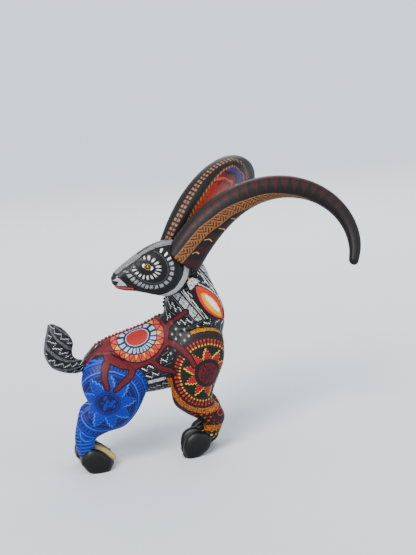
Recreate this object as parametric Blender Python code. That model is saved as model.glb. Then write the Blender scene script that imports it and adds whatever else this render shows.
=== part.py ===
"""A carved wooden ibex that stands on four cloven hooves and looks back over its
right shoulder. Horns, ears and tail are loose pieces on pegs, and pull out.

Metres, +Z up. The animal faces +X and its right side is -Y. The origin is the
middle of the bounding box, on the ground.
"""

import math

import bmesh
import bpy
from mathutils import Matrix, Vector

NAME = "alebrije_ibex"

# Fits
GAP = 0.0003                # clearance between neighbouring pieces
PEG_GAP = 0.0003            # clearance around a peg in its socket

# Where the working frame of the stations below lies in the model's frame
BODY_SHIFT = Vector((0.01575, -0.0056, 0.0028))

# Head: a frame turned to the animal's right and rolled, with its nose along -x
HEAD_ORIGIN = Vector((-0.030, -0.022, 0.194))
HEAD_YAW = math.radians(14.7)
HEAD_ROLL = math.radians(5.3)

# Horns
HORN_SPACING = 0.0274       # between the two roots
HORN_ROOT = Vector((0.0002, 0.0011, 0.0157))    # midpoint of the roots, head frame
HORN_TIP_BACK = math.radians(-9.5)  # tips the pair of horns about the ears' line
HORN_LEAN = math.radians(14.0)      # the curl's plane leans outward
HORN_TWIST = math.radians(153.0)    # and turns outward along the horn, per metre
HORN_SUNK = 0.010           # how far the uncut horn runs on into the head
# each horn: length, splay, first rise above the head, bend per metre at the root,
# and how fast the bend grows along the horn
HORNS = {
    "left": (0.2345, math.radians(2.0), math.radians(61.8), math.radians(266.0),
             math.radians(3800.0)),
    "right": (0.2330, math.radians(5.3), math.radians(74.8), math.radians(291.0),
              math.radians(5800.0)),
}
# half sections along a horn: share of the length, in the curl's plane, across it
HORN_SECTIONS = (
    (0.00, 0.0184, 0.0117),
    (0.10, 0.0176, 0.0128),
    (0.20, 0.0162, 0.0138),
    (0.35, 0.0134, 0.0130),
    (0.50, 0.0110, 0.0110),
    (0.65, 0.0090, 0.0088),
    (0.80, 0.0074, 0.0070),
    (0.92, 0.0062, 0.0056),
    (1.00, 0.0048, 0.0044),
)
# the far horn is deeper on the inside of its bend: by how much, and where along it
HORN_KEEL = 0.0130
HORN_KEEL_MIDDLE = 0.50
HORN_KEEL_REACH = 0.30

# Pegs and dowels: radius, and length on each side of the joint
HORN_PEG = (0.0040, 0.014, 0.020)
EAR_PEG = (0.0014, 0.009, 0.005)
TAIL_PEG = (0.0024, 0.012, 0.012)
NECK_DOWEL = (0.0060, 0.022, 0.022)
HEAD_DOWEL = (0.0050, 0.014, 0.016)
LEG_DOWEL = (0.0040, 0.010, 0.007)

# Where they cross the joint: points, or distances from the loose piece's root
HORN_JOINT = 0.012
EAR_JOINT = 0.004
TAIL_JOINT = Vector((-0.1330, 0.0, 0.1020))
NECK_JOINT = Vector((-0.0220, 0.0, 0.1410))
HEAD_JOINT = Vector((-0.0235, -0.0170, 0.1780))
LEG_JOINT_OUT = 0.0235      # from the middle plane

# Ground: the soles are cut flat on it
GROUND = -0.0028
SOLE_CUT = 0.40             # size of the block that cuts them
SOLE_CUT_MIDDLE = -0.09     # its middle along x

# How far the legs on the left side are set ahead of those on the right: share of
# the way down, and the lead there
FORELEG_LEAD = ((0.0, 0.0040), (0.40, 0.0078), (0.53, 0.0080), (0.68, 0.0030),
                (0.76, 0.0040), (0.86, 0.0108), (1.0, 0.0150))
HINDLEG_LEAD = ((0.0, 0.0020), (0.25, 0.0066), (0.50, 0.0075), (0.75, 0.0046),
                (1.0, -0.0020))
NO_LEAD = ((0.0, 0.0), (1.0, 0.0))

# Body of the animal: x, top z, bottom z, half width, height of the widest level
TORSO = (
    (-0.1290, 0.1120, 0.0860, 0.0120, 0.099),
    (-0.1220, 0.1205, 0.0765, 0.0185, 0.098),
    (-0.1080, 0.1270, 0.0705, 0.0230, 0.098),
    (-0.0900, 0.1315, 0.0675, 0.0250, 0.099),
    (-0.0700, 0.1365, 0.0665, 0.0258, 0.101),
    (-0.0500, 0.1440, 0.0675, 0.0262, 0.104),
    (-0.0300, 0.1440, 0.0700, 0.0262, 0.106),
    (-0.0120, 0.1400, 0.0755, 0.0240, 0.109),
    (0.0020, 0.1320, 0.0850, 0.0190, 0.112),
    (0.0065, 0.1240, 0.0960, 0.0110, 0.112),
)

# Neck: front x, back x, z, y of the middle, half width
NECK = (
    (0.0090, -0.0500, 0.1150, 0.0000, 0.0225),
    (0.0125, -0.0505, 0.1300, -0.0010, 0.0228),
    (0.0118, -0.0485, 0.1450, -0.0030, 0.0222),
    (0.0068, -0.0475, 0.1590, -0.0065, 0.0205),
    (0.0008, -0.0440, 0.1730, -0.0110, 0.0185),
    (-0.0040, -0.0410, 0.1860, -0.0150, 0.0165),
    (-0.0090, -0.0380, 0.1960, -0.0175, 0.0140),
    (-0.0160, -0.0350, 0.2030, -0.0190, 0.0100),
)

# Head, in its own frame: x, top z, bottom z, half width, height of the widest level
HEAD = (
    (-0.0730, 0.0030, -0.0060, 0.0045, 0.000),
    (-0.0700, 0.0070, -0.0100, 0.0075, 0.000),
    (-0.0625, 0.0120, -0.0132, 0.0098, 0.000),
    (-0.0530, 0.0172, -0.0155, 0.0122, 0.001),
    (-0.0425, 0.0222, -0.0190, 0.0155, 0.004),
    (-0.0320, 0.0262, -0.0230, 0.0180, 0.005),
    (-0.0200, 0.0288, -0.0265, 0.0190, 0.004),
    (-0.0080, 0.0280, -0.0262, 0.0180, 0.002),
    (0.0020, 0.0225, -0.0205, 0.0145, 0.001),
    (0.0075, 0.0130, -0.0120, 0.0085, 0.001),
)

# Limbs: front x and z, back x and z, y of the middle, half thickness
FORELEG = (
    (-0.0020, 0.1290, -0.0400, 0.1290, -0.0180, 0.0105),
    (0.0055, 0.1180, -0.0490, 0.1160, -0.0195, 0.0140),
    (0.0058, 0.1050, -0.0510, 0.1000, -0.0205, 0.0158),
    (0.0035, 0.0920, -0.0515, 0.0850, -0.0210, 0.0160),
    (-0.0030, 0.0780, -0.0518, 0.0700, -0.0208, 0.0148),
    (-0.0090, 0.0640, -0.0495, 0.0550, -0.0195, 0.0125),
    (-0.0090, 0.0540, -0.0390, 0.0440, -0.0180, 0.0105),
    (-0.0010, 0.0440, -0.0270, 0.0355, -0.0165, 0.0095),
    (0.0015, 0.0340, -0.0215, 0.0290, -0.0153, 0.0087),
    (-0.0020, 0.0245, -0.0205, 0.0235, -0.0145, 0.0080),
    (-0.0065, 0.0160, -0.0215, 0.0215, -0.0138, 0.0078),
    (-0.0130, 0.0110, -0.0270, 0.0205, -0.0135, 0.0072),
)
HINDLEG = (
    (-0.0980, 0.1160, -0.1240, 0.1150, -0.0150, 0.0090),
    (-0.0870, 0.1050, -0.1345, 0.1050, -0.0180, 0.0135),
    (-0.0780, 0.0930, -0.1395, 0.0920, -0.0200, 0.0160),
    (-0.0748, 0.0790, -0.1382, 0.0790, -0.0205, 0.0165),
    (-0.0800, 0.0660, -0.1345, 0.0690, -0.0200, 0.0152),
    (-0.0885, 0.0520, -0.1345, 0.0640, -0.0190, 0.0135),
    (-0.1010, 0.0405, -0.1390, 0.0600, -0.0178, 0.0118),
    (-0.1180, 0.0365, -0.1455, 0.0555, -0.0165, 0.0102),
    (-0.1290, 0.0320, -0.1490, 0.0460, -0.0155, 0.0092),
    (-0.1325, 0.0260, -0.1515, 0.0330, -0.0147, 0.0085),
    (-0.1315, 0.0200, -0.1510, 0.0230, -0.0140, 0.0082),
    (-0.1310, 0.0120, -0.1490, 0.0150, -0.0136, 0.0074),
)
TAIL = (
    (-0.1240, 0.1060, -0.1240, 0.0980, 0.0, 0.0044),
    (-0.1330, 0.1085, -0.1330, 0.0970, 0.0, 0.0052),
    (-0.1390, 0.1105, -0.1430, 0.0960, 0.0, 0.0060),
    (-0.1425, 0.1140, -0.1540, 0.0985, 0.0, 0.0070),
    (-0.1430, 0.1200, -0.1655, 0.1055, 0.0, 0.0080),
    (-0.1412, 0.1270, -0.1708, 0.1190, 0.0, 0.0085),
    (-0.1440, 0.1350, -0.1690, 0.1320, 0.0, 0.0075),
    (-0.1500, 0.1430, -0.1662, 0.1410, 0.0, 0.0052),
    (-0.1560, 0.1470, -0.1645, 0.1470, 0.0, 0.0025),
)

# A hoof, from heel to toe: front x and z, back x and z, half width
FORE_HOOF = (
    (-0.0150, 0.0130, -0.0225, 0.0215, 0.0098),
    (-0.0175, 0.0055, -0.0295, 0.0240, 0.0122),
    (-0.0240, 0.0000, -0.0365, 0.0220, 0.0132),
    (-0.0320, -0.0040, -0.0420, 0.0170, 0.0130),
    (-0.0385, -0.0050, -0.0445, 0.0090, 0.0112),
    (-0.0425, -0.0035, -0.0450, 0.0030, 0.0070),
)
HIND_HOOF = (
    (-0.1450, 0.0180, -0.1470, 0.0060, 0.0098),
    (-0.1390, 0.0225, -0.1420, -0.0010, 0.0122),
    (-0.1315, 0.0215, -0.1345, -0.0045, 0.0132),
    (-0.1245, 0.0170, -0.1265, -0.0045, 0.0128),
    (-0.1195, 0.0115, -0.1205, -0.0025, 0.0108),
    (-0.1165, 0.0070, -0.1170, 0.0015, 0.0065),
)
HOOF_OUT = 0.0135           # a hoof's middle, from the animal's middle plane
CLEFT_WIDTH = 0.0046        # at the toe
CLEFT_HEEL = 0.00138        # at its inner end
CLEFT_LENGTH = 0.0200
CLEFT_OUT = 0.006           # how far the wedge runs out past the toe
CLEFT_REACH = 0.060         # tall enough to split the whole hoof

# Ears, in the head's frame: middle x, y and z, half width, half thickness
EAR_LEFT = (
    (0.0010, -0.0150, -0.0110, 0.0042, 0.0034),
    (0.0050, -0.0190, -0.0170, 0.0070, 0.0034),
    (0.0110, -0.0220, -0.0260, 0.0100, 0.0032),
    (0.0185, -0.0235, -0.0360, 0.0108, 0.0028),
    (0.0255, -0.0235, -0.0460, 0.0078, 0.0022),
    (0.0305, -0.0230, -0.0530, 0.0030, 0.0012),
)
EAR_RIGHT = (
    (-0.0045, 0.0168, -0.0050, 0.0042, 0.0034),
    (-0.0005, 0.0220, -0.0085, 0.0070, 0.0034),
    (0.0055, 0.0300, -0.0135, 0.0100, 0.0032),
    (0.0125, 0.0375, -0.0195, 0.0108, 0.0028),
    (0.0190, 0.0440, -0.0260, 0.0078, 0.0022),
    (0.0230, 0.0485, -0.0300, 0.0030, 0.0012),
)
EAR_HOLLOW = 0.62           # size of the scooped inner ear, as a share of the ear
EAR_HOLLOW_OUT = 0.0026     # how far out the scoop is set

# Crests: rows of beads along the back and up the neck
BEAD_RADIUS = 0.0019
BEAD_NECK = 0.0012          # radius between two beads
BEAD_PITCH = 0.0042
BEAD_STEPS = 2              # rings to a bead
BACK_CREST = (-0.1200, -0.0530)     # from x, to x
NECK_CREST = (0.1530, 0.1730)       # from z, to z
CREST_LIFT = 0.0003

# each kind of leg: stations, hoof, lead, x and z of the dowel at its top, and paint
LEGS = (
    ("foreleg", FORELEG, FORE_HOOF, FORELEG_LEAD, (-0.022, 0.104), "paint_maroon"),
    ("hindleg", HINDLEG, HIND_HOOF, HINDLEG_LEAD, (-0.106, 0.094), "paint_cobalt"),
)

# Facets round each form
TORSO_SIDES = 18
NECK_SIDES = 16
HEAD_SIDES = 18
LEG_SIDES = 12
HOOF_SIDES = 14
TAIL_SIDES = 12
HORN_SIDES = 12
EAR_SIDES = 10
SCOOP_SIDES = 9
CREST_SIDES = 6
PEG_SIDES = 12

# Heights of the domes at a form's first and last section
END_DOMES = (0.002, 0.002)
TORSO_DOMES = (0.004, 0.003)
HEAD_DOMES = (0.0015, 0.002)
HORN_DOMES = (0.002, 0.005)
EAR_DOMES = (0.001, 0.001)
TAIL_DOMES = (0.001, 0.002)
CREST_DOMES = (0.0006, 0.0006)
DOME_LEVELS = 2

# How square the sections are: 2 is an ellipse
HORN_POWER = 2.2
HOOF_POWER = 2.3


def clear_scene():
    for item in list(bpy.data.objects):
        bpy.data.objects.remove(item, do_unlink=True)


def make_collection(name):
    group = bpy.data.collections.new(name)
    bpy.context.scene.collection.children.link(group)
    return group


def material(name, colour):
    finish = bpy.data.materials.get(name)
    if finish:
        return finish
    finish = bpy.data.materials.new(name)
    finish.use_nodes = True
    shader = finish.node_tree.nodes["Principled BSDF"]
    shader.inputs["Base Color"].default_value = (*colour, 1.0)
    shader.inputs["Roughness"].default_value = PAINT_ROUGHNESS
    finish.diffuse_color = (*colour, 1.0)
    return finish


PAINT_ROUGHNESS = 0.45
PAINTS = {
    "paint_black": (0.020, 0.018, 0.022),
    "paint_crimson": (0.42, 0.015, 0.045),
    "paint_cobalt": (0.010, 0.085, 0.46),
    "paint_maroon": (0.17, 0.020, 0.030),
    "paint_umber": (0.060, 0.024, 0.022),
    "paint_orange": (0.85, 0.21, 0.03),
    "hoof_black": (0.012, 0.013, 0.012),
    "bare_wood": (0.60, 0.42, 0.24),
}


def smooth_rings(rings, steps):
    """Catmull-Rom through the rings; each ring is a tuple of vectors."""
    out = []
    last = len(rings) - 1
    for i in range(last):
        before = rings[max(i - 1, 0)]
        after = rings[min(i + 2, last)]
        for k in range(steps):
            t = k / steps
            ring = []
            for p0, p1, p2, p3 in zip(before, rings[i], rings[i + 1], after):
                a = 2.0 * p1
                b = (p2 - p0) * t
                c = (2.0 * p0 - 5.0 * p1 + 4.0 * p2 - p3) * t * t
                d = (3.0 * p1 - p0 - 3.0 * p2 + p3) * t * t * t
                ring.append(0.5 * (a + b + c + d))
            out.append(tuple(ring))
    out.append(rings[last])
    return out


def longer(vector, extra):
    return vector * ((vector.length + extra) / vector.length)


def dome_rings(ring, outward, height, levels):
    """Rings that close a loft's end with a dome of the given height."""
    middle, side, up, down = ring
    out = []
    for k in range(1, levels + 1):
        angle = 0.5 * math.pi * k / (levels + 1)
        shrink = math.cos(angle)
        centre = middle + outward * (height * math.sin(angle))
        out.append((centre, side * shrink, up * shrink, down * shrink))
    return out


def loft_mesh(name, rings, sides, steps, domes=END_DOMES, power=2.0, grow=0.0):
    """One closed skin through elliptic rings, domed at both ends.

    A ring is (middle, side, up, down): its half axes are vectors, and up and
    down may differ. A power above 2 squares the ellipse off.
    """
    rings = smooth_rings(rings, steps)
    first = (rings[0][0] - rings[1][0]).normalized()
    last = (rings[-1][0] - rings[-2][0]).normalized()
    if grow:
        rings = [(m, *(longer(v, grow) for v in axes)) for m, *axes in rings]
    head = dome_rings(rings[0], first, domes[0] + grow, DOME_LEVELS)[::-1]
    tail = dome_rings(rings[-1], last, domes[1] + grow, DOME_LEVELS)
    start = rings[0][0] + first * (domes[0] + grow)
    end = rings[-1][0] + last * (domes[1] + grow)
    mesh = bpy.data.meshes.new(name)
    form = bmesh.new()
    loops = []
    for middle, side, up, down in head + rings + tail:
        loop = []
        for k in range(sides):
            angle = 2.0 * math.pi * k / sides
            c = math.cos(angle)
            s = math.sin(angle)
            reach_c = math.copysign(abs(c) ** (2.0 / power), c)
            reach_s = abs(s) ** (2.0 / power)
            rise = up if s >= 0.0 else down
            loop.append(form.verts.new(middle + side * reach_c + rise * reach_s))
        loops.append(loop)
    for one, two in zip(loops, loops[1:]):
        for k in range(sides):
            n = (k + 1) % sides
            form.faces.new((one[k], one[n], two[n], two[k]))
    for loop, point in ((loops[0], start), (loops[-1], end)):
        pole = form.verts.new(point)
        for k in range(sides):
            form.faces.new((loop[k], loop[(k + 1) % sides], pole))
    bmesh.ops.recalc_face_normals(form, faces=form.faces)
    form.to_mesh(mesh)
    form.free()
    mesh.shade_smooth()
    return mesh


def place(mesh, paint=None, cutter=False):
    """Put a mesh in the scene, as a part or as a cutter."""
    item = bpy.data.objects.new(mesh.name, mesh)
    item.parent = ROOT
    if cutter:
        item.hide_render = True
        item.display_type = "WIRE"
        CUTTERS.objects.link(item)
    else:
        mesh.materials.append(material(paint, PAINTS[paint]))
        PARTS.objects.link(item)
    return item


def boolean(target, tool, operation="DIFFERENCE"):
    step = target.modifiers.new(tool.name, "BOOLEAN")
    step.operation = operation
    step.object = tool
    step.solver = "EXACT"


def rod_mesh(name, start, end, radius):
    """A round rod between two points."""
    mesh = bpy.data.meshes.new(name)
    form = bmesh.new()
    axis = end - start
    turn = axis.to_track_quat("Z", "X").to_matrix().to_4x4()
    at = Matrix.Translation((start + end) / 2.0) @ turn
    bmesh.ops.create_cone(
        form, cap_ends=True, segments=PEG_SIDES, radius1=radius, radius2=radius,
        depth=axis.length, matrix=at)
    form.to_mesh(mesh)
    form.free()
    return mesh


def dowel(name, joint, direction, size, sockets):
    """A dowel across a joint, and the socket for it in each piece."""
    radius, back, ahead = size
    start = joint - direction * back
    end = joint + direction * ahead
    place(rod_mesh(name, start, end, radius), "bare_wood")
    start -= direction * PEG_GAP
    end += direction * PEG_GAP
    hole = place(rod_mesh(name + "_hole", start, end, radius + PEG_GAP), cutter=True)
    for piece in sockets:
        boolean(piece, hole)


def trunk_rings(stations, frame=Matrix.Identity(4)):
    """Rings across a long axis x, from top and bottom heights."""
    rings = []
    for x, top, bottom, half_width, level in stations:
        middle = frame @ Vector((x, 0.0, level))
        side = frame.to_3x3() @ Vector((0.0, half_width, 0.0))
        up = frame.to_3x3() @ Vector((0.0, 0.0, top - level))
        down = frame.to_3x3() @ Vector((0.0, 0.0, bottom - level))
        rings.append((middle, side, up, down))
    return rings


def neck_rings():
    rings = []
    for front, back, z, y, half_width in NECK:
        middle = Vector(((front + back) / 2.0, y, z))
        reach = Vector(((front - back) / 2.0, 0.0, 0.0))
        rings.append((middle, Vector((0.0, half_width, 0.0)), reach, -reach))
    return rings


def lead_at(lead, share):
    """The lead at a share of the way down, straight between the table's values."""
    for (one, low), (two, high) in zip(lead, lead[1:]):
        if share <= two:
            return low + (high - low) * max(0.0, share - one) / (two - one)
    return lead[-1][1]


def limb_rings(stations, left, lead=NO_LEAD):
    """Rings from a limb's front and back edge, mirrored for the left side."""
    rings = []
    high = stations[0][1]
    low = GROUND
    for fx, fz, bx, bz, y, half in stations:
        front = Vector((fx, y, fz))
        back = Vector((bx, y, bz))
        middle = (front + back) / 2.0
        if left:
            share = (high - middle.z) / (high - low)
            middle.x += lead_at(lead, share)
            middle.y = -middle.y
        reach = (front - back) / 2.0
        rings.append((middle, Vector((0.0, half, 0.0)), reach, -reach))
    return rings


def head_frame():
    turn = Matrix.Rotation(HEAD_YAW, 4, "Z") @ Matrix.Rotation(HEAD_ROLL, 4, "X")
    return Matrix.Translation(HEAD_ORIGIN) @ turn


def horn_axes(name):
    """A horn's root, first direction, and the direction that it curls toward."""
    _, splay, rise, _, _ = HORNS[name]
    frame = head_frame()
    turn = frame.to_3x3()
    tip = Matrix.Rotation(-HORN_TIP_BACK, 3, "Y")
    back = turn @ (tip @ Vector((1.0, 0.0, 0.0)))
    up = turn @ (tip @ Vector((0.0, 0.0, 1.0)))
    out = turn @ Vector((0.0, -1.0 if name == "left" else 1.0, 0.0))
    along = math.cos(splay) * back + math.sin(splay) * out
    across = math.cos(splay) * out - math.sin(splay) * back
    first = math.cos(rise) * along + math.sin(rise) * up
    curl = math.sin(rise) * along - math.cos(rise) * up
    curl = math.cos(HORN_LEAN) * curl + math.sin(HORN_LEAN) * across
    root = frame @ HORN_ROOT + out * (HORN_SPACING / 2.0)
    return root, first, curl


def horn_section(share):
    """Half depth and half width of a horn at a share of its length."""
    for one, two in zip(HORN_SECTIONS, HORN_SECTIONS[1:]):
        if share <= two[0]:
            t = (share - one[0]) / (two[0] - one[0])
            return one[1] + (two[1] - one[1]) * t, one[2] + (two[2] - one[2]) * t
    return HORN_SECTIONS[-1][1:]


def horn_keel(share):
    """Extra depth inside the bend, rising and falling smoothly."""
    off = abs(share - HORN_KEEL_MIDDLE) / HORN_KEEL_REACH
    return HORN_KEEL * 0.5 * (1.0 + math.cos(math.pi * min(off, 1.0)))


def horn_rings(name, count=23, fine=12):
    """Rings along a twisted curve whose bend grows from the root to the tip."""
    length, _, _, bend, growth = HORNS[name]
    root, tangent, inward = horn_axes(name)
    outward = tangent.cross(inward) * (-1.0 if name == "left" else 1.0)
    point = root - tangent * HORN_SUNK
    rings = []
    step = (length + HORN_SUNK) / ((count - 1) * fine)
    for i in range((count - 1) * fine + 1):
        run = i * step - HORN_SUNK
        if i % fine == 0:
            share = max(run, 0.0) / length
            depth, width = horn_section(share)
            inner = depth + (horn_keel(share) if name == "right" else 0.0)
            rings.append((point.copy(), outward * width, inward * inner, -inward * depth))
        point = point + tangent * step
        if run < 0.0:
            continue
        turn = Matrix.Rotation((bend + growth * run) * step, 3, tangent.cross(inward))
        tangent = turn @ tangent
        inward = turn @ inward
        twist = HORN_TWIST * step
        inward, outward = (
            math.cos(twist) * inward + math.sin(twist) * outward,
            math.cos(twist) * outward - math.sin(twist) * inward)
    return rings


def ear_rings(stations, grow=1.0, shift=Vector()):
    frame = head_frame()
    points = [frame @ Vector(s[:3]) for s in stations]
    facing = frame.to_3x3() @ Vector((0.0, math.copysign(1.0, stations[0][1]), 0.0))
    rings = []
    for i, station in enumerate(stations):
        near = points[max(i - 1, 0)]
        far = points[min(i + 1, len(points) - 1)]
        along = (far - near).normalized()
        wide = along.cross(facing).normalized()
        thick = wide.cross(along).normalized()
        half_width = station[3] * grow
        half_thick = station[4]
        rings.append((points[i] + shift, wide * half_width, thick * half_thick,
                      -thick * half_thick))
    return rings


def torso_ridge(x):
    """Height of the torso's top at x, on the same curve as the loft."""
    rings = smooth_rings(trunk_rings(TORSO), 6)
    for one, two in zip(rings, rings[1:]):
        if one[0].x <= x <= two[0].x:
            t = (x - one[0].x) / (two[0].x - one[0].x)
            low = one[0].z + one[2].z
            high = two[0].z + two[2].z
            return low + (high - low) * t
    raise ValueError(x)


def neck_nape(z):
    """x and y of the neck's back edge at z."""
    rings = smooth_rings(neck_rings(), 6)
    for one, two in zip(rings, rings[1:]):
        if one[0].z <= z <= two[0].z:
            t = (z - one[0].z) / (two[0].z - one[0].z)
            low = one[0] + one[3]
            high = two[0] + two[3]
            return low + (high - low) * t
    raise ValueError(z)


def crest_rings(path):
    """A string of beads along a path of evenly spaced points."""
    rings = []
    for i, point in enumerate(path):
        near = path[max(i - 1, 0)]
        far = path[min(i + 1, len(path) - 1)]
        along = (far - near).normalized()
        side = along.cross(Vector((0.0, 1.0, 0.0))).normalized()
        wave = abs(math.sin(math.pi * i / BEAD_STEPS))
        radius = BEAD_NECK + (BEAD_RADIUS - BEAD_NECK) * wave
        rings.append((point, Vector((0.0, radius, 0.0)), side * radius, -side * radius))
    return rings


def make_crests():
    start, end = BACK_CREST
    count = round((end - start) / BEAD_PITCH) * BEAD_STEPS
    path = []
    for i in range(count + 1):
        x = start + (end - start) * i / count
        path.append(Vector((x, 0.0, torso_ridge(x) + CREST_LIFT)))
    back = place(loft_mesh("back_crest", crest_rings(path), CREST_SIDES, 1,
                           CREST_DOMES), "paint_crimson")
    start, end = NECK_CREST
    count = round((end - start) / BEAD_PITCH) * BEAD_STEPS
    path = []
    for i in range(count + 1):
        point = neck_nape(start + (end - start) * i / count)
        path.append(point - Vector((CREST_LIFT, 0.0, 0.0)))
    nape = place(loft_mesh("neck_crest", crest_rings(path), CREST_SIDES, 1,
                           CREST_DOMES), "paint_black")
    return back, nape


def make_ear(name, stations):
    """A leaf-shaped ear with a scooped inner face."""
    out = head_frame().to_3x3() @ Vector((0.0, math.copysign(1.0, stations[0][1]), 0.0))
    ear = place(loft_mesh(name, ear_rings(stations), EAR_SIDES, 2, EAR_DOMES),
                "paint_orange")
    inner = ear_rings(stations[1:-1], EAR_HOLLOW, out * EAR_HOLLOW_OUT)
    scoop = place(loft_mesh(name + "_scoop", inner, SCOOP_SIDES, 1), cutter=True)
    boolean(ear, scoop)
    return ear


def make_hoof(name, stations, left, lead):
    """A cloven hoof: one form, split from the toe by a wedge."""
    y = HOOF_OUT if left else -HOOF_OUT
    rings = []
    for fx, fz, bx, bz, half in stations:
        front = Vector((fx + lead, y, fz))
        back = Vector((bx + lead, y, bz))
        reach = (front - back) / 2.0
        rings.append(((front + back) / 2.0, Vector((0.0, half, 0.0)), reach, -reach))
    hoof = place(loft_mesh(name, rings, HOOF_SIDES, 2, END_DOMES, HOOF_POWER),
                 "hoof_black")
    toe = rings[-1][0]
    ahead = (toe - rings[1][0]).normalized()
    mesh = bpy.data.meshes.new(name + "_cleft")
    form = bmesh.new()
    bmesh.ops.create_cube(form, size=1.0)
    for corner in form.verts:
        wide = CLEFT_WIDTH if corner.co.x > 0.0 else CLEFT_HEEL
        corner.co = Vector((corner.co.x * CLEFT_LENGTH, corner.co.y * wide,
                            corner.co.z * CLEFT_REACH))
    turn = Matrix.Rotation(math.atan2(-ahead.z, ahead.x), 4, "Y")
    middle = toe - ahead * (CLEFT_LENGTH / 2.0 - CLEFT_OUT)
    bmesh.ops.transform(form, matrix=Matrix.Translation(middle) @ turn, verts=form.verts)
    form.to_mesh(mesh)
    form.free()
    boolean(hoof, place(mesh, cutter=True))
    return hoof


def make_sole_cutter():
    mesh = bpy.data.meshes.new("below_ground")
    form = bmesh.new()
    bmesh.ops.create_cube(form, size=SOLE_CUT)
    bmesh.ops.translate(form, verts=form.verts,
                         vec=(SOLE_CUT_MIDDLE, 0.0, GROUND - SOLE_CUT / 2.0))
    form.to_mesh(mesh)
    form.free()
    return place(mesh, cutter=True)


def grown(name, rings, sides, steps, domes, power=2.0):
    return place(loft_mesh(name, rings, sides, steps, domes, power, GAP), cutter=True)


def build():
    torso_form = (trunk_rings(TORSO), TORSO_SIDES, 2, TORSO_DOMES)
    torso = place(loft_mesh("torso", *torso_form), "paint_crimson")
    torso_room = grown("torso_room", *torso_form)

    head_form = (trunk_rings(HEAD, head_frame()), HEAD_SIDES, 2, HEAD_DOMES)
    head = place(loft_mesh("head", *head_form), "paint_black")
    head_room = grown("head_room", *head_form)

    neck_form = (neck_rings(), NECK_SIDES, 2, END_DOMES)
    neck = place(loft_mesh("neck", *neck_form), "paint_black")
    neck_room = grown("neck_room", *neck_form)
    boolean(neck, torso_room)
    boolean(neck, head_room)

    back_crest, neck_crest = make_crests()
    boolean(back_crest, torso_room)
    boolean(neck_crest, neck_room)

    ground = make_sole_cutter()
    for side, left in (("right", False), ("left", True)):
        out = Vector((0.0, 1.0 if left else -1.0, 0.0))
        for kind, stations, hoof_stations, lead, hip, paint in LEGS:
            rings = limb_rings(stations, left, lead)
            leg = place(loft_mesh(f"{kind}_{side}", rings, LEG_SIDES, 2), paint)
            boolean(leg, torso_room)
            if kind == "foreleg":
                boolean(leg, neck_room)
            shift = lead[-1][1] if left else 0.0
            hoof = make_hoof(f"{kind}_{side}_hoof", hoof_stations, left, shift)
            room = grown(f"{kind}_{side}_room", rings, LEG_SIDES, 2, END_DOMES)
            boolean(hoof, room)
            boolean(hoof, ground)
            joint = Vector((hip[0] + (lead[0][1] if left else 0.0), 0.0, hip[1]))
            joint += out * LEG_JOINT_OUT
            dowel(f"{kind}_{side}_dowel", joint, out, LEG_DOWEL, (torso, leg))

    tail = place(loft_mesh("tail", limb_rings(TAIL, False), TAIL_SIDES, 2, TAIL_DOMES),
                 "paint_black")
    boolean(tail, torso_room)
    up = Vector((0.0, 0.0, 1.0))
    dowel("tail_peg", TAIL_JOINT, Vector((-1.0, 0.0, 0.0)), TAIL_PEG, (torso, tail))
    dowel("neck_dowel", NECK_JOINT, up, NECK_DOWEL, (torso, neck))
    dowel("head_dowel", HEAD_JOINT, up, HEAD_DOWEL, (neck, head))

    for side in HORNS:
        name = "horn_" + side
        horn = place(loft_mesh(name, horn_rings(side), HORN_SIDES, 1, HORN_DOMES,
                               HORN_POWER), "paint_umber")
        boolean(horn, head_room)
        boolean(horn, neck_room)
        root, first, _ = horn_axes(side)
        dowel(name + "_peg", root + first * HORN_JOINT, first, HORN_PEG, (head, horn))

    for name, stations in (("ear_left", EAR_LEFT), ("ear_right", EAR_RIGHT)):
        ear = make_ear(name, stations)
        boolean(ear, head_room)
        boolean(ear, neck_room)
        frame = head_frame()
        root = frame @ Vector(stations[0][:3])
        along = (frame @ Vector(stations[1][:3]) - root).normalized()
        dowel(name + "_peg", root + along * EAR_JOINT, along, EAR_PEG, (head, ear))


clear_scene()
PARTS = make_collection(NAME)
CUTTERS = make_collection(NAME + "_cutters")
ROOT = bpy.data.objects.new(NAME, None)
ROOT.location = BODY_SHIFT
PARTS.objects.link(ROOT)
build()
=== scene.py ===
"""The painted wooden ibex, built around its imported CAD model.

Forms are in metres. The tables inside metres() and the painted surfaces are in
millimetres, in the figure's working frame, which SHIFT moves into the CAD model's.
"""

import math

import bmesh
import bpy
import numpy as np
from mathutils import Matrix, Vector


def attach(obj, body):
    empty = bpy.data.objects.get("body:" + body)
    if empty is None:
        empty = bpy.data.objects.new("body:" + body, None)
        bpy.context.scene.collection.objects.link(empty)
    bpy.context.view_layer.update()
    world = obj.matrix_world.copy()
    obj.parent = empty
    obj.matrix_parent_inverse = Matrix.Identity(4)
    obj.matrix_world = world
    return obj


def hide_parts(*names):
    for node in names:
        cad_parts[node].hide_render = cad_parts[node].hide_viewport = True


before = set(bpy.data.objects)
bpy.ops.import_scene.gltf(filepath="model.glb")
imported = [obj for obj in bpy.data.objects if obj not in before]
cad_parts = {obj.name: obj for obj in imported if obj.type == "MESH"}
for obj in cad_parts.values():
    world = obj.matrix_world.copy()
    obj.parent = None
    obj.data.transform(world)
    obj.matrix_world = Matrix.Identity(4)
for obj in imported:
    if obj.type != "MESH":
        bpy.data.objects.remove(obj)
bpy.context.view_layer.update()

SHIFT = Vector((0.01575, -0.0056, 0.0028))
GROUND = -0.0028
MM = 1000.0


def metres(rows):
    """A table written in millimetres, in metres."""
    return tuple(tuple(value / MM for value in row) for row in rows)


# ---------------------------------------------------------------- stations
# The same sections as the CAD model's, in millimetres, drawn finer here.

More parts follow.
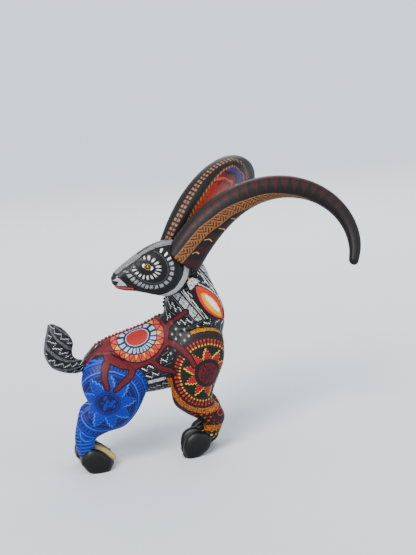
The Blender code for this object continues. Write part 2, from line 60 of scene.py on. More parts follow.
# x, top z, bottom z, half width, height of the widest level
TORSO = metres((
    (-129, 112, 86, 12, 99),
    (-122, 120.5, 76.5, 18.5, 98),
    (-108, 127, 70.5, 23, 98),
    (-90, 131.5, 67.5, 25, 99),
    (-70, 136.5, 66.5, 25.8, 101),
    (-50, 144, 67.5, 26.2, 104),
    (-30, 144, 70, 26.2, 106),
    (-12, 140, 75.5, 24, 109),
    (2, 132, 85, 19, 112),
    (6.5, 124, 96, 11, 112),
))
# front x, back x, z, y of the middle, half width
NECK = metres((
    (9, -50, 115, 0, 22.5),
    (12.5, -50.5, 130, -1, 22.8),
    (11.8, -48.5, 145, -3, 22.2),
    (6.8, -47.5, 159, -6.5, 20.5),
    (0.8, -44, 173, -11, 18.5),
    (-4, -41, 186, -15, 16.5),
    (-9, -38, 196, -17.5, 14),
    (-16, -35, 203, -19, 10),
))
# in the head's frame: x, top z, bottom z, half width, height of the widest level
HEAD = metres((
    (-73, 3, -6, 4.5, 0),
    (-70, 7, -10, 7.5, 0),
    (-62.5, 12, -13.2, 9.8, 0),
    (-53, 17.2, -15.5, 12.2, 1),
    (-42.5, 22.2, -19, 15.5, 4),
    (-32, 26.2, -23, 18, 5),
    (-20, 28.8, -26.5, 19, 4),
    (-8, 28, -26.2, 18, 2),
    (2, 22.5, -20.5, 14.5, 1),
    (7.5, 13, -12, 8.5, 1),
))
# limbs: front x and z, back x and z, y of the middle, half thickness
FORELEG = metres((
    (-2, 129, -40, 129, -18, 10.5),
    (5.5, 118, -49, 116, -19.5, 14),
    (5.8, 105, -51, 100, -20.5, 15.8),
    (3.5, 92, -51.5, 85, -21, 16),
    (-3, 78, -51.8, 70, -20.8, 14.8),
    (-9, 64, -49.5, 55, -19.5, 12.5),
    (-9, 54, -39, 44, -18, 10.5),
    (-1, 44, -27, 35.5, -16.5, 9.5),
    (1.5, 34, -21.5, 29, -15.3, 8.7),
    (-2, 24.5, -20.5, 23.5, -14.5, 8),
    (-6.5, 16, -21.5, 21.5, -13.8, 7.8),
    (-13, 11, -27, 20.5, -13.5, 7.2),
))
HINDLEG = metres((
    (-98, 116, -124, 115, -15, 9),
    (-87, 105, -134.5, 105, -18, 13.5),
    (-78, 93, -139.5, 92, -20, 16),
    (-74.8, 79, -138.2, 79, -20.5, 16.5),
    (-80, 66, -134.5, 69, -20, 15.2),
    (-88.5, 52, -134.5, 64, -19, 13.5),
    (-101, 40.5, -139, 60, -17.8, 11.8),
    (-118, 36.5, -145.5, 55.5, -16.5, 10.2),
    (-129, 32, -149, 46, -15.5, 9.2),
    (-132.5, 26, -151.5, 33, -14.7, 8.5),
    (-131.5, 20, -151, 23, -14, 8.2),
    (-131, 12, -149, 15, -13.6, 7.4),
))
TAIL = metres((
    (-124, 106, -124, 98, 0, 4.4),
    (-133, 108.5, -133, 97, 0, 5.2),
    (-139, 110.5, -143, 96, 0, 6),
    (-142.5, 114, -154, 98.5, 0, 7),
    (-143, 120, -165.5, 105.5, 0, 8),
    (-141.2, 127, -170.8, 119, 0, 8.5),
    (-144, 135, -169, 132, 0, 7.5),
    (-150, 143, -166.2, 141, 0, 5.2),
    (-156, 147, -164.5, 147, 0, 2.5),
))
# a hoof, from heel to toe: front x and z, back x and z, half width
FORE_HOOF = metres((
    (-15, 13, -22.5, 21.5, 9.8),
    (-17.5, 5.5, -29.5, 24, 12.2),
    (-24, 0, -36.5, 22, 13.2),
    (-32, -4, -42, 17, 13),
    (-38.5, -5, -44.5, 9, 11.2),
    (-42.5, -3.5, -45, 3, 7),
))
HIND_HOOF = metres((
    (-145, 18, -147, 6, 9.8),
    (-139, 22.5, -142, -1, 12.2),
    (-131.5, 21.5, -134.5, -4.5, 13.2),
    (-124.5, 17, -126.5, -4.5, 12.8),
    (-119.5, 11.5, -120.5, -2.5, 10.8),
    (-116.5, 7, -117, 1.5, 6.5),
))
HOOF_OUT = 0.0135
# a claw, as shares of the hoof's half width: its half width, its middle, and how much
# narrower and further out it is at the toe; and how much higher the inner toe is
CLAW_HALF = 0.52
CLAW_OUT = 0.48
CLAW_SPREAD = 0.10
CLAW_LIFT = 0.0028
HIND_SPLAY = 0.0030         # how far the inner hind toes are ahead of the outer ones
# in the head's frame: middle x, y and z, half width, half thickness
EARS = {
    "left": metres((
        (1, -15, -11, 4.2, 3.4),
        (5, -19, -17, 7, 3.4),
        (11, -22, -26, 10, 3.2),
        (18.5, -23.5, -36, 10.8, 2.8),
        (25.5, -23.5, -46, 7.8, 2.2),
        (30.5, -23, -53, 3, 1.2),
    )),
    "right": metres((
        (-4.5, 16.8, -5, 4.2, 3.4),
        (-0.5, 22, -8.5, 7, 3.4),
        (5.5, 30, -13.5, 10, 3.2),
        (12.5, 37.5, -19.5, 10.8, 2.8),
        (19, 44, -26, 7.8, 2.2),
        (23, 48.5, -30, 3, 1.2),
    )),
}

# the scoop of an ear's face: half width, middle and half length as shares of the leaf,
# and its depth as a share of the leaf's thickness
SCOOP = (0.82, 0.54, 0.46, 0.62)

# the eye, in millimetres of the head's frame: middle x and z, tilt, half length and height
EYE = (-42.9, 10.0)
EYE_TILT = math.radians(-24.0)
EYE_SIZE = (6.2, 3.1)

# how far the left legs are ahead: share of the way down, and the lead there
FORELEG_LEAD = ((0.0, 0.0040), (0.40, 0.0078), (0.53, 0.0080), (0.68, 0.0030),
                (0.76, 0.0040), (0.86, 0.0108), (1.0, 0.0150))
HINDLEG_LEAD = ((0.0, 0.0020), (0.25, 0.0066), (0.50, 0.0075), (0.75, 0.0046),
                (1.0, -0.0020))
NO_LEAD = ((0.0, 0.0), (1.0, 0.0))

HEAD_ORIGIN = Vector((-0.030, -0.022, 0.194))
HEAD_YAW = math.radians(14.7)
HEAD_ROLL = math.radians(5.3)

HORN_SPACING = 0.0274
HORN_ROOT = Vector((0.0002, 0.0011, 0.0157))
HORN_TIP_BACK = math.radians(-9.5)
HORN_LEAN = math.radians(14.0)
HORN_TWIST = math.radians(153.0)
HORN_SUNK = 0.010
# length, splay, first rise, bend per metre at the root, growth of the bend
HORNS = {
    "left": (0.2345, math.radians(2.0), math.radians(61.8), math.radians(266.0),
             math.radians(3800.0)),
    "right": (0.2330, math.radians(5.3), math.radians(74.8), math.radians(291.0),
              math.radians(5800.0)),
}
# share of the length, half depth in the curl's plane, half width across it
HORN_SECTIONS = (
    (0.00, 0.0184, 0.0117),
    (0.10, 0.0176, 0.0128),
    (0.20, 0.0162, 0.0138),
    (0.35, 0.0134, 0.0130),
    (0.50, 0.0110, 0.0110),
    (0.65, 0.0090, 0.0088),
    (0.80, 0.0074, 0.0070),
    (0.92, 0.0062, 0.0056),
    (1.00, 0.0048, 0.0044),
)
# the far horn is deeper on the inside of its bend: by how much, and where along it
HORN_KEEL = 0.0130
HORN_KEEL_MIDDLE = 0.50
HORN_KEEL_REACH = 0.30

# pegs: radius, length back into the body, and where they cross the joint
HORN_PEG = (0.0040, 0.014, 0.012)
EAR_PEG = (0.0014, 0.009, 0.004)
TAIL_PEG = (0.0024, 0.012)
TAIL_JOINT = Vector((-0.1330, 0.0, 0.1020))
TAIL_OUT = Vector((-1.0, 0.0, 0.0))
PEG_GAP = 0.0003
SOCKET_CLEAR = 0.020        # how far a socket's cutter reaches out past the joint
HORN_SOCKET = (0.004, 0.020)    # a horn's own hole, behind its root and past the joint
SEAT_GAP = 0.0003           # between a piece and the form that it sits on
HEAD_OVERLAP = 0.0004       # how far the body's skin runs in under the head's

HEAD_DOMES = (0.0015, 0.002)
TORSO_DOMES = (0.004, 0.003)


# ---------------------------------------------------------------- mesh tools

def smooth_rings(rings, steps):
    """Catmull-Rom through the rings; each ring is a tuple of vectors."""
    out = []
    last = len(rings) - 1
    for i in range(last):
        before = rings[max(i - 1, 0)]
        after = rings[min(i + 2, last)]
        for k in range(steps):
            t = k / steps
            ring = []
            for p0, p1, p2, p3 in zip(before, rings[i], rings[i + 1], after):
                a = 2.0 * p1
                b = (p2 - p0) * t
                c = (2.0 * p0 - 5.0 * p1 + 4.0 * p2 - p3) * t * t
                d = (3.0 * p1 - p0 - 3.0 * p2 + p3) * t * t * t
                ring.append(0.5 * (a + b + c + d))
            out.append(tuple(ring))
    out.append(rings[last])
    return out


def longer(vector, extra):
    return vector * ((vector.length + extra) / vector.length)


def dome_rings(ring, outward, height, levels):
    middle, side, up, down = ring
    out = []
    for k in range(1, levels + 1):
        angle = 0.5 * math.pi * k / (levels + 1)
        shrink = math.cos(angle)
        centre = middle + outward * (height * math.sin(angle))
        out.append((centre, side * shrink, up * shrink, down * shrink))
    return out


def loft(name, rings, sides, steps, domes=(0.002, 0.002), power=2.0, grow=0.0, caps=5):
    """One closed skin through elliptic rings, domed at both ends, as an object."""
    rings = smooth_rings(rings, steps)
    first = (rings[0][0] - rings[1][0]).normalized()
    last = (rings[-1][0] - rings[-2][0]).normalized()
    if grow:
        rings = [(m, *(longer(v, grow) for v in axes)) for m, *axes in rings]
    head = dome_rings(rings[0], first, domes[0] + grow, caps)[::-1]
    tail = dome_rings(rings[-1], last, domes[1] + grow, caps)
    form = bmesh.new()
    loops = []
    for middle, side, up, down in head + rings + tail:
        loop = []
        for k in range(sides):
            angle = 2.0 * math.pi * k / sides
            c = math.cos(angle)
            s = math.sin(angle)
            reach_c = math.copysign(abs(c) ** (2.0 / power), c)
            reach_s = abs(s) ** (2.0 / power)
            rise = up if s >= 0.0 else down
            loop.append(form.verts.new(middle + side * reach_c + rise * reach_s + SHIFT))
        loops.append(loop)
    for one, two in zip(loops, loops[1:]):
        for k in range(sides):
            n = (k + 1) % sides
            form.faces.new((one[k], one[n], two[n], two[k]))
    start = rings[0][0] + first * (domes[0] + grow) + SHIFT
    end = rings[-1][0] + last * (domes[1] + grow) + SHIFT
    for loop, point in ((loops[0], start), (loops[-1], end)):
        pole = form.verts.new(point)
        for k in range(sides):
            form.faces.new((loop[k], loop[(k + 1) % sides], pole))
    bmesh.ops.recalc_face_normals(form, faces=form.faces)
    return add_object(name, form)


def add_object(name, form):
    """Turn a bmesh into a smooth object of the scene."""
    mesh = bpy.data.meshes.new(name)
    form.to_mesh(mesh)
    form.free()
    mesh.shade_smooth()
    item = bpy.data.objects.new(name, mesh)
    bpy.context.scene.collection.objects.link(item)
    return item


def rod(name, start, end, radius, sides=32):
    """A closed cylinder between two points of the working frame."""
    form = bmesh.new()
    axis = end - start
    turn = axis.to_track_quat("Z", "X").to_matrix().to_4x4()
    at = Matrix.Translation((start + end) / 2.0 + SHIFT) @ turn
    bmesh.ops.create_cone(form, cap_ends=True, segments=sides, radius1=radius,
                          radius2=radius, depth=axis.length, matrix=at)
    return add_object(name, form)


def bake_modifiers(item):
    """Replace the object's mesh by the one its modifiers make."""
    graph = bpy.context.evaluated_depsgraph_get()
    mesh = bpy.data.meshes.new_from_object(item.evaluated_get(graph))
    old = item.data
    item.modifiers.clear()
    item.data = mesh
    bpy.data.meshes.remove(old)
    mesh.shade_smooth()


def cut(item, tools):
    """Take the tools out of the object and remove them."""
    for tool in tools:
        step = item.modifiers.new("cut", "BOOLEAN")
        step.operation = "DIFFERENCE"
        step.object = tool
        step.solver = "EXACT"
    bake_modifiers(item)
    for tool in tools:
        bpy.data.objects.remove(tool)


def melt(name, parts, voxel, smooth):
    """Join closed forms into one skin, with their creases softened."""
    form = bmesh.new()
    for part in parts:
        form.from_mesh(part.data)
        bpy.data.objects.remove(part)
    item = add_object(name, form)
    remesh = item.modifiers.new("skin", "REMESH")
    remesh.mode = "VOXEL"
    remesh.voxel_size = voxel
    ease = item.modifiers.new("ease", "SMOOTH")
    ease.factor = 0.5
    ease.iterations = smooth
    bake_modifiers(item)
    keep_largest(item)
    return item


def keep_largest(item):
    """Drop the closed shells inside the skin."""
    form = bmesh.new()
    form.from_mesh(item.data)
    seen = set()
    groups = []
    for vert in form.verts:
        if vert in seen:
            continue
        group = [vert]
        seen.add(vert)
        for point in group:
            for edge in point.link_edges:
                other = edge.other_vert(point)
                if other not in seen:
                    seen.add(other)
                    group.append(other)
        groups.append(group)
    groups.sort(key=len, reverse=True)
    for group in groups[1:]:
        bmesh.ops.delete(form, geom=group, context="VERTS")
    form.to_mesh(item.data)
    form.free()


def arc_lengths(points):
    """How far along a run of points each of them lies."""
    steps = np.linalg.norm(np.diff(points, axis=0), axis=1)
    return np.concatenate([[0.0], np.cumsum(steps)])


def points_of(item):
    """The object's vertices as an array, in millimetres of the working frame."""
    flat = np.zeros(len(item.data.vertices) * 3)
    item.data.vertices.foreach_get("co", flat)
    return (flat.reshape(-1, 3) - np.array(SHIFT)) * MM


def move_points(item, points):
    item.data.vertices.foreach_set("co", (points / MM + np.array(SHIFT)).ravel())
    item.data.update()


def normals_of(item):
    flat = np.zeros(len(item.data.vertices) * 3)
    item.data.vertex_normals.foreach_get("vector", flat)
    return flat.reshape(-1, 3)


def store(item, name, values):
    """Keep a number or a vector on each vertex, for the paint to read."""
    values = np.asarray(values, dtype=np.float32)
    if values.ndim == 1:
        layer = item.data.attributes.new(name, "FLOAT", "POINT")
        layer.data.foreach_set("value", values)
    else:
        layer = item.data.attributes.new(name, "FLOAT_VECTOR", "POINT")
        layer.data.foreach_set("vector", values.ravel())


def bump_of(distance, reach):
    """1 at distance 0, falling smoothly to 0 at reach."""
    t = np.clip(1.0 - distance / reach, 0.0, 1.0)
    return t * t * (3.0 - 2.0 * t)


# ---------------------------------------------------------------- forms

def trunk_rings(stations, place=Matrix.Identity(4)):
    rings = []
    turn = place.to_3x3()
    for x, top, bottom, half_width, level in stations:
        middle = place @ Vector((x, 0.0, level))
        side = turn @ Vector((0.0, half_width, 0.0))
        up = turn @ Vector((0.0, 0.0, top - level))
        down = turn @ Vector((0.0, 0.0, bottom - level))
        rings.append((middle, side, up, down))
    return rings


def neck_rings():
    rings = []
    for front, back, z, y, half_width in NECK:
        middle = Vector(((front + back) / 2.0, y, z))
        reach = Vector(((front - back) / 2.0, 0.0, 0.0))
        rings.append((middle, Vector((0.0, half_width, 0.0)), reach, -reach))
    return rings


def lead_at(lead, share):
    """The lead at a share of the way down, straight between the table's values."""
    return np.interp(share, *zip(*lead))


def limb_rings(stations, left, lead=NO_LEAD):
    rings = []
    high = stations[0][1]
    for fx, fz, bx, bz, y, half in stations:
        front = Vector((fx, y, fz))
        back = Vector((bx, y, bz))
        middle = (front + back) / 2.0
        if left:
            middle.x += lead_at(lead, (high - middle.z) / (high - GROUND))
            middle.y = -middle.y
        reach = (front - back) / 2.0
        rings.append((middle, Vector((0.0, half, 0.0)), reach, -reach))
    return rings


def head_frame():
    turn = Matrix.Rotation(HEAD_YAW, 4, "Z") @ Matrix.Rotation(HEAD_ROLL, 4, "X")
    return Matrix.Translation(HEAD_ORIGIN) @ turn


def horn_axes(name):
    """A horn's root, the way that it starts out, and the way that it curls."""
    _, splay, rise, _, _ = HORNS[name]
    place = head_frame()
    turn = place.to_3x3()
    tip = Matrix.Rotation(-HORN_TIP_BACK, 3, "Y")
    back = turn @ (tip @ Vector((1.0, 0.0, 0.0)))
    up = turn @ (tip @ Vector((0.0, 0.0, 1.0)))
    out = turn @ Vector((0.0, -1.0 if name == "left" else 1.0, 0.0))
    along = math.cos(splay) * back + math.sin(splay) * out
    across = math.cos(splay) * out - math.sin(splay) * back
    first = math.cos(rise) * along + math.sin(rise) * up
    curl = math.sin(rise) * along - math.cos(rise) * up
    curl = math.cos(HORN_LEAN) * curl + math.sin(HORN_LEAN) * across
    root = place @ HORN_ROOT + out * (HORN_SPACING / 2.0)
    return root, first, curl


def horn_section(share):
    """Half depth and half width at a share of the length."""
    shares, depths, widths = zip(*HORN_SECTIONS)
    return np.interp(share, shares, depths), np.interp(share, shares, widths)


def horn_keel(share):
    """Extra depth inside the bend, rising and falling smoothly."""
    off = abs(share - HORN_KEEL_MIDDLE) / HORN_KEEL_REACH
    return HORN_KEEL * 0.5 * (1.0 + math.cos(math.pi * min(off, 1.0)))


def horn_rings(name, count=23, fine=12):
    """Rings along a twisted curve whose bend grows."""
    length, _, _, bend, growth = HORNS[name]
    root, tangent, inward = horn_axes(name)
    outward = tangent.cross(inward) * (-1.0 if name == "left" else 1.0)
    point = root - tangent * HORN_SUNK
    rings = []
    step = (length + HORN_SUNK) / ((count - 1) * fine)
    for i in range((count - 1) * fine + 1):
        run = i * step - HORN_SUNK
        if i % fine == 0:
            share = max(run, 0.0) / length
            depth, width = horn_section(share)
            inner = depth + (horn_keel(share) if name == "right" else 0.0)
            rings.append((point.copy(), outward * width, inward * inner, -inward * depth))
        point = point + tangent * step
        if run < 0.0:
            continue
        turn = Matrix.Rotation((bend + growth * run) * step, 3, tangent.cross(inward))
        tangent = turn @ tangent
        inward = turn @ inward
        twist = HORN_TWIST * step
        inward, outward = (
            math.cos(twist) * inward + math.sin(twist) * outward,
            math.cos(twist) * outward - math.sin(twist) * inward)
    return rings


def ear_axes(stations):
    """An ear's points, and at each the directions across and out of the leaf."""
    place = head_frame()
    points = [place @ Vector(s[:3]) for s in stations]
    facing = place.to_3x3() @ Vector((0.0, math.copysign(1.0, stations[0][1]), 0.0))
    out = []
    for i, point in enumerate(points):
        near = points[max(i - 1, 0)]
        far = points[min(i + 1, len(points) - 1)]
        along = (far - near).normalized()
        wide = along.cross(facing).normalized()
        out.append((point, wide, wide.cross(along).normalized()))
    return out


def peg_hole(joint, direction, radius, back):
    """The cutter of a socket, from its end to well outside the joint."""
    return rod("socket", joint - direction * (back + PEG_GAP),
               joint + direction * SOCKET_CLEAR, radius + PEG_GAP)


def head_socket_tools():
    """Cutters for the sockets of the horns' and the ears' pegs."""
    tools = []
    place = head_frame()
    for side in HORNS:
        root, along, _ = horn_axes(side)
        radius, back, start = HORN_PEG
        tools.append(peg_hole(root + along * start, along, radius, back))
    for stations in EARS.values():
        root = place @ Vector(stations[0][:3])
        along = (place @ Vector(stations[1][:3]) - root).normalized()
        radius, back, start = EAR_PEG
        tools.append(peg_hole(root + along * start, along, radius, back))
    return tools


# ---------------------------------------------------------------- pieces

def head_form(name, sides, steps, grow=0.0, caps=5):
    """The head's plain form, by itself or as the cutter of its neighbours' seats."""
    return loft(name, trunk_rings(HEAD, head_frame()), sides, steps, HEAD_DOMES,
                grow=grow, caps=caps)


def make_body():
    """Trunk, neck and legs as one carved skin, down to the hooves."""
    parts = [
        loft("torso_form", trunk_rings(TORSO), 72, 8, TORSO_DOMES),
        loft("neck_form", neck_rings(), 64, 8),
    ]
    for left in (False, True):
        parts.append(loft("fore_form", limb_rings(FORELEG, left, FORELEG_LEAD), 48, 7))
        parts.append(loft("hind_form", limb_rings(HINDLEG, left, HINDLEG_LEAD), 48, 7))
    body = melt("body", parts, 0.0011, 10)
    seat = head_form("seat", 48, 4, -HEAD_OVERLAP)
    hole = peg_hole(TAIL_JOINT, TAIL_OUT, *TAIL_PEG)
    cut(body, [seat, hole])
    keep_largest(body)
    return body


def make_head():
    head = head_form("head_skin", 144, 14, caps=8)
    points = points_of(head)
    relief = head_relief(*local_points(points).T)
    move_points(head, points + normals_of(head) * relief[:, None])
    cut(head, head_socket_tools())
    return head


def local_points(points):
    """Points in millimetres of the working frame, in the head's own frame."""
    inverse = np.array(head_frame().to_3x3().transposed())
    return (points - np.array(HEAD_ORIGIN) * MM) @ inverse.T


def eye_axes(x, z):
    """Along and up the tilted eye, from its middle."""
    dx = x - EYE[0]
    dz = z - EYE[1]
    c = math.cos(EYE_TILT)
    s = math.sin(EYE_TILT)
    return dx * c + dz * s, dz * c - dx * s


def bell(distance, reach):
    """1 at distance 0, falling as a bell does."""
    return np.exp(-(distance / reach) ** 2)


def head_relief(x, y, z):
    """Carved relief of the face in millimetres: eyeballs and lids, nostrils, mouth."""
    across, up = eye_axes(x, z)
    side = (np.abs(y) > 4.0).astype(float)
    lid = np.hypot(across / EYE_SIZE[0], up / EYE_SIZE[1])
    eye = 0.6 * bump_of(lid, 1.0) + 0.3 * bell(lid - 1.12, 0.16)
    relief = side * (eye - 0.25 * bell(lid - 1.5, 0.2))
    nostril = np.hypot((x + 71.0) / 2.0, (z - 2.4) / 1.5)
    relief -= 1.1 * bump_of(nostril, 1.0) * (np.abs(y) > 2.0)
    mouth = bell(z - mouth_line(x), 0.7) * (x < -55.0) * bump_of(-55.0 - x, 60.0)
    return relief - 0.55 * mouth


def make_horn(side):
    horn = loft("horn_" + side + "_skin", horn_rings(side), 48, 4, (0.002, 0.005), 2.2,
                caps=6)
    seat = head_form("seat", 64, 5, SEAT_GAP)
    nape = loft("nape", neck_rings(), 48, 5, grow=SEAT_GAP)
    radius, _, start = HORN_PEG
    root, first, _ = horn_axes(side)
    behind, ahead = HORN_SOCKET
    hole = rod("socket", root - first * behind, root + first * (start + ahead + PEG_GAP),
               radius + PEG_GAP)
    cut(horn, [seat, nape, hole])
    chart_horn(horn, side)
    return horn


def chart_horn(horn, side):
    """Store how far along and which way round the horn each vertex lies."""
    rings = smooth_rings(horn_rings(side), 6)
    middles = np.array([r[0] for r in rings]) * MM
    sides = np.array([r[1].normalized() for r in rings])
    ups = np.array([r[2].normalized() for r in rings])
    runs = arc_lengths(middles)
    points = points_of(horn)
    run = np.zeros(len(points))
    turn_c = np.zeros(len(points))
    turn_s = np.zeros(len(points))
    for i, point in enumerate(points):
        gaps = ((middles - point) ** 2).sum(1)
        k = int(np.clip(gaps.argmin(), 0, len(middles) - 2))
        way = middles[k + 1] - middles[k]
        t = np.dot(point - middles[k], way) / np.dot(way, way)
        off = point - middles[k] - way * t
        run[i] = runs[k] + t * np.linalg.norm(way) - HORN_SUNK * MM
        turn_c[i] = off @ sides[k]
        turn_s[i] = off @ ups[k]
    reach = np.maximum(np.hypot(turn_c, turn_s), 1e-6)
    store(horn, "chart", np.stack([run, turn_c / reach, turn_s / reach], 1))


def make_ear(side):
    """A leaf with a raised rim round a scooped inner face."""
    stations = EARS[side]
    axes = ear_axes(stations)
    rings = []
    for station, (point, wide, thick) in zip(stations, axes):
        rings.append((point, wide * station[3], thick * station[4], -thick * station[4]))
    ear = loft("ear_" + side + "_skin", rings, 72, 12, (0.001, 0.001))
    cut(ear, [head_form("seat", 48, 4, SEAT_GAP)])
    points = points_of(ear)
    middles = smooth_rings(axes, 24)
    widths = smooth_rings([(Vector((s[3], s[4], 0.0)),) for s in stations], 24)
    spine = np.array([m[0] for m in middles]) * MM
    wides = np.array([m[1].normalized() for m in middles])
    outs = np.array([m[2].normalized() for m in middles])
    halves = np.array([w[0] for w in widths]) * MM
    half_width, centre, half_length, depth = SCOOP
    chart = np.zeros((len(points), 3))
    for i, point in enumerate(points):
        k = int(((spine - point) ** 2).sum(1).argmin())
        off = point - spine[k]
        share = k / (len(spine) - 1)
        across = off @ wides[k] / halves[k][0]
        out = off @ outs[k]
        chart[i] = (share, across, out / halves[k][1])
        leaf = math.hypot(across / half_width, (share - centre) / half_length)
        if out > 0.0:
            hollow = bump_of(leaf, 1.0) * depth * halves[k][1]
            points[i] = point - outs[k] * hollow
    move_points(ear, points)
    store(ear, "chart", chart)
    return ear


def make_tail():
    tail = loft("tail_skin", limb_rings(TAIL, False), 56, 10, (0.001, 0.002))
    cut(tail, [loft("seat", trunk_rings(TORSO), 48, 5, TORSO_DOMES, grow=SEAT_GAP)])
    return tail


def make_hoof(name, stations, left, lead, splay):
    """Two black claws with pale faces along the cleft between them."""
    side = 1.0 if left else -1.0
    claws = []
    for inner in (False, True):
        rings = []
        for i, (fx, fz, bx, bz, half) in enumerate(stations):
            # the claws meet at the heel and part towards the toe
            open_up = i / (len(stations) - 1)
            half_claw = half * (CLAW_HALF - CLAW_SPREAD * open_up)
            y = half * (CLAW_OUT + CLAW_SPREAD * open_up) * (-1.0 if inner else 1.0)
            lift = CLAW_LIFT * open_up if inner else 0.0
            shift = lead + (splay * open_up if inner else 0.0)
            front = Vector((fx + shift, 0.0, fz + lift))
            back = Vector((bx + shift, 0.0, bz + lift))
            middle = (front + back) / 2.0
            middle.y = side * (HOOF_OUT + y)
            reach = (front - back) / 2.0
            rings.append((middle, Vector((0.0, half_claw, 0.0)), reach, -reach))
        claws.append(loft(name + "_claw", rings, 40, 8, (0.002, 0.002), 2.3))
    hoof = melt(name, claws, 0.00055, 4)
    form = bmesh.new()
    bmesh.ops.create_cube(form, size=0.4)
    bmesh.ops.translate(form, verts=form.verts, vec=(0.0, 0.0, -0.2))
    cut(hoof, [add_object("below", form)])
    return hoof


def make_beads(name, path, radius):
    """A row of separate drops of paint along a path, of slightly different sizes."""
    form = bmesh.new()
    for i, (point, normal) in enumerate(path):
        size = radius * (1.0 + 0.12 * math.sin(2.3 * i))
        at = Matrix.Translation(point + SHIFT + normal * (size * 0.25))
        bmesh.ops.create_icosphere(form, subdivisions=3, radius=size, matrix=at)
    return add_object(name, form)


def crest_path(rings, axis, edge, start, run, count, normal):
    """Even steps along an axis, on one edge of the form through the rings."""
    rings = smooth_rings(rings, 8)
    path = []
    for i in range(count):
        level = start + run * i / (count - 1)
        for one, two in zip(rings, rings[1:]):
            if one[0][axis] <= level <= two[0][axis]:
                t = (level - one[0][axis]) / (two[0][axis] - one[0][axis])
                low = one[0] + one[edge]
                high = two[0] + two[edge]
                path.append((low + (high - low) * t, Vector(normal)))
                break
    return path


# ---------------------------------------------------------------- paint tools

def tint(code):
    """A linear colour from a two-digit-a-channel code."""
    out = []
    for i in (0, 2, 4):
        c = int(code[i:i + 2], 16) / 255.0
        out.append(c / 12.92 if c <= 0.04045 else ((c + 0.055) / 1.055) ** 2.4)
    return (*out, 1.0)


BLACK = tint("09090b")
SOOT = tint("1d1c20")
GREY = tint("77787c")
DIM = tint("47484c")
PALE = tint("d2d2d4")
WHITE = tint("f2f1ee")
CRIMSON = tint("840c34")
CRIMSON_DEEP = tint("620620")
CORE = tint("a62c16")
CORE_PALE = tint("b24638")
NAVY = tint("101c4a")
ICE = tint("b4c6da")
PINK = tint("cc5a62")
YELLOW = tint("dcb41c")
LEMON = tint("dcd016")
ORANGE = tint("cc6018")
MAROON = tint("3c0c18")
RED = tint("c2162a")
OCHRE = tint("be8030")
GOLD = tint("c99a2a")
COBALT = tint("0646b8")
DEEP_BLUE = tint("07145c")
SKY = tint("3484dc")
TAN = tint("a07e56")
RUST = tint("5a1c10")
UMBER = tint("1f1114")
WINE = tint("4c181c")
COPPER = tint("b08e74")
PURPLE = tint("4a2470")
FLAME = tint("8c160e")
AMBER = tint("dcb838")
CLARET = tint("5c1024")
SLATE = tint("5c5d62")


def math_node(kind):
    """A method that puts one kind of math node on a number."""
    return lambda number, *others: number.op(kind, *others)


class Num:
    """A number the shader works out; arithmetic on it adds math nodes."""

    def __init__(self, tree, socket):
        self.tree = tree
        self.socket = socket

    def op(self, kind, *others, clamp=False):
        node = self.tree.nodes.new("ShaderNodeMath")
        node.operation = kind
        node.use_clamp = clamp
        for place, value in zip(node.inputs, (self,) + others):
            if isinstance(value, Num):
                self.tree.links.new(value.socket, place)
            else:
                place.default_value = value
        return Num(self.tree, node.outputs[0])

    __add__ = __radd__ = math_node("ADD")
    __sub__ = math_node("SUBTRACT")
    __mul__ = __rmul__ = math_node("MULTIPLY")
    __truediv__ = math_node("DIVIDE")
    __abs__ = math_node("ABSOLUTE")
    floor = math_node("FLOOR")
    frac = math_node("FRACT")
    sin = math_node("SINE")
    root = math_node("SQRT")
    most = math_node("MAXIMUM")
    angle = math_node("ARCTAN2")

    def __rsub__(self, other):
        return self.op("MULTIPLY_ADD", -1.0, other)

    def __neg__(self):
        return self.op("MULTIPLY", -1.0)

    def flip(self):
        return self.op("MULTIPLY_ADD", -1.0, 1.0)

    def below(self, limit, soft=0.2):
        """1 where the value is under the limit, with a soft step."""
        if isinstance(limit, Num):
            return (self - limit).below(0.0, soft)
        return self.op("MULTIPLY_ADD", -1.0 / soft, limit / soft + 0.5, clamp=True)

    def above(self, limit, soft=0.2):
        if isinstance(limit, Num):
            return (self - limit).above(0.0, soft)
        return self.op("MULTIPLY_ADD", 1.0 / soft, 0.5 - limit / soft, clamp=True)

    def within(self, low, high, soft=0.2):
        return abs(self - (low + high) / 2.0).below((high - low) / 2.0, soft)

    def wave(self, pitch, shift=0.0):
        """A triangle wave: 0 at each end of a pitch, 1 in the middle."""
        turn = self.op("MULTIPLY_ADD", 1.0 / pitch, shift).frac()
        return abs(turn.op("MULTIPLY_ADD", 2.0, -1.0)).flip()

    def ramp(self, low, high):
        return self.op("MULTIPLY_ADD", 1.0 / (high - low), -low / (high - low), clamp=True)


def follow(value, table):
    """A value that runs straight between the table's pairs."""
    total = table[0][1]
    for (low, one), (high, two) in zip(table, table[1:]):
        total = total + value.ramp(low, high) * (two - one)
    return total


def hypot(*parts):
    total = parts[0] * parts[0]
    for part in parts[1:]:
        total = total + part * part
    return total.root()


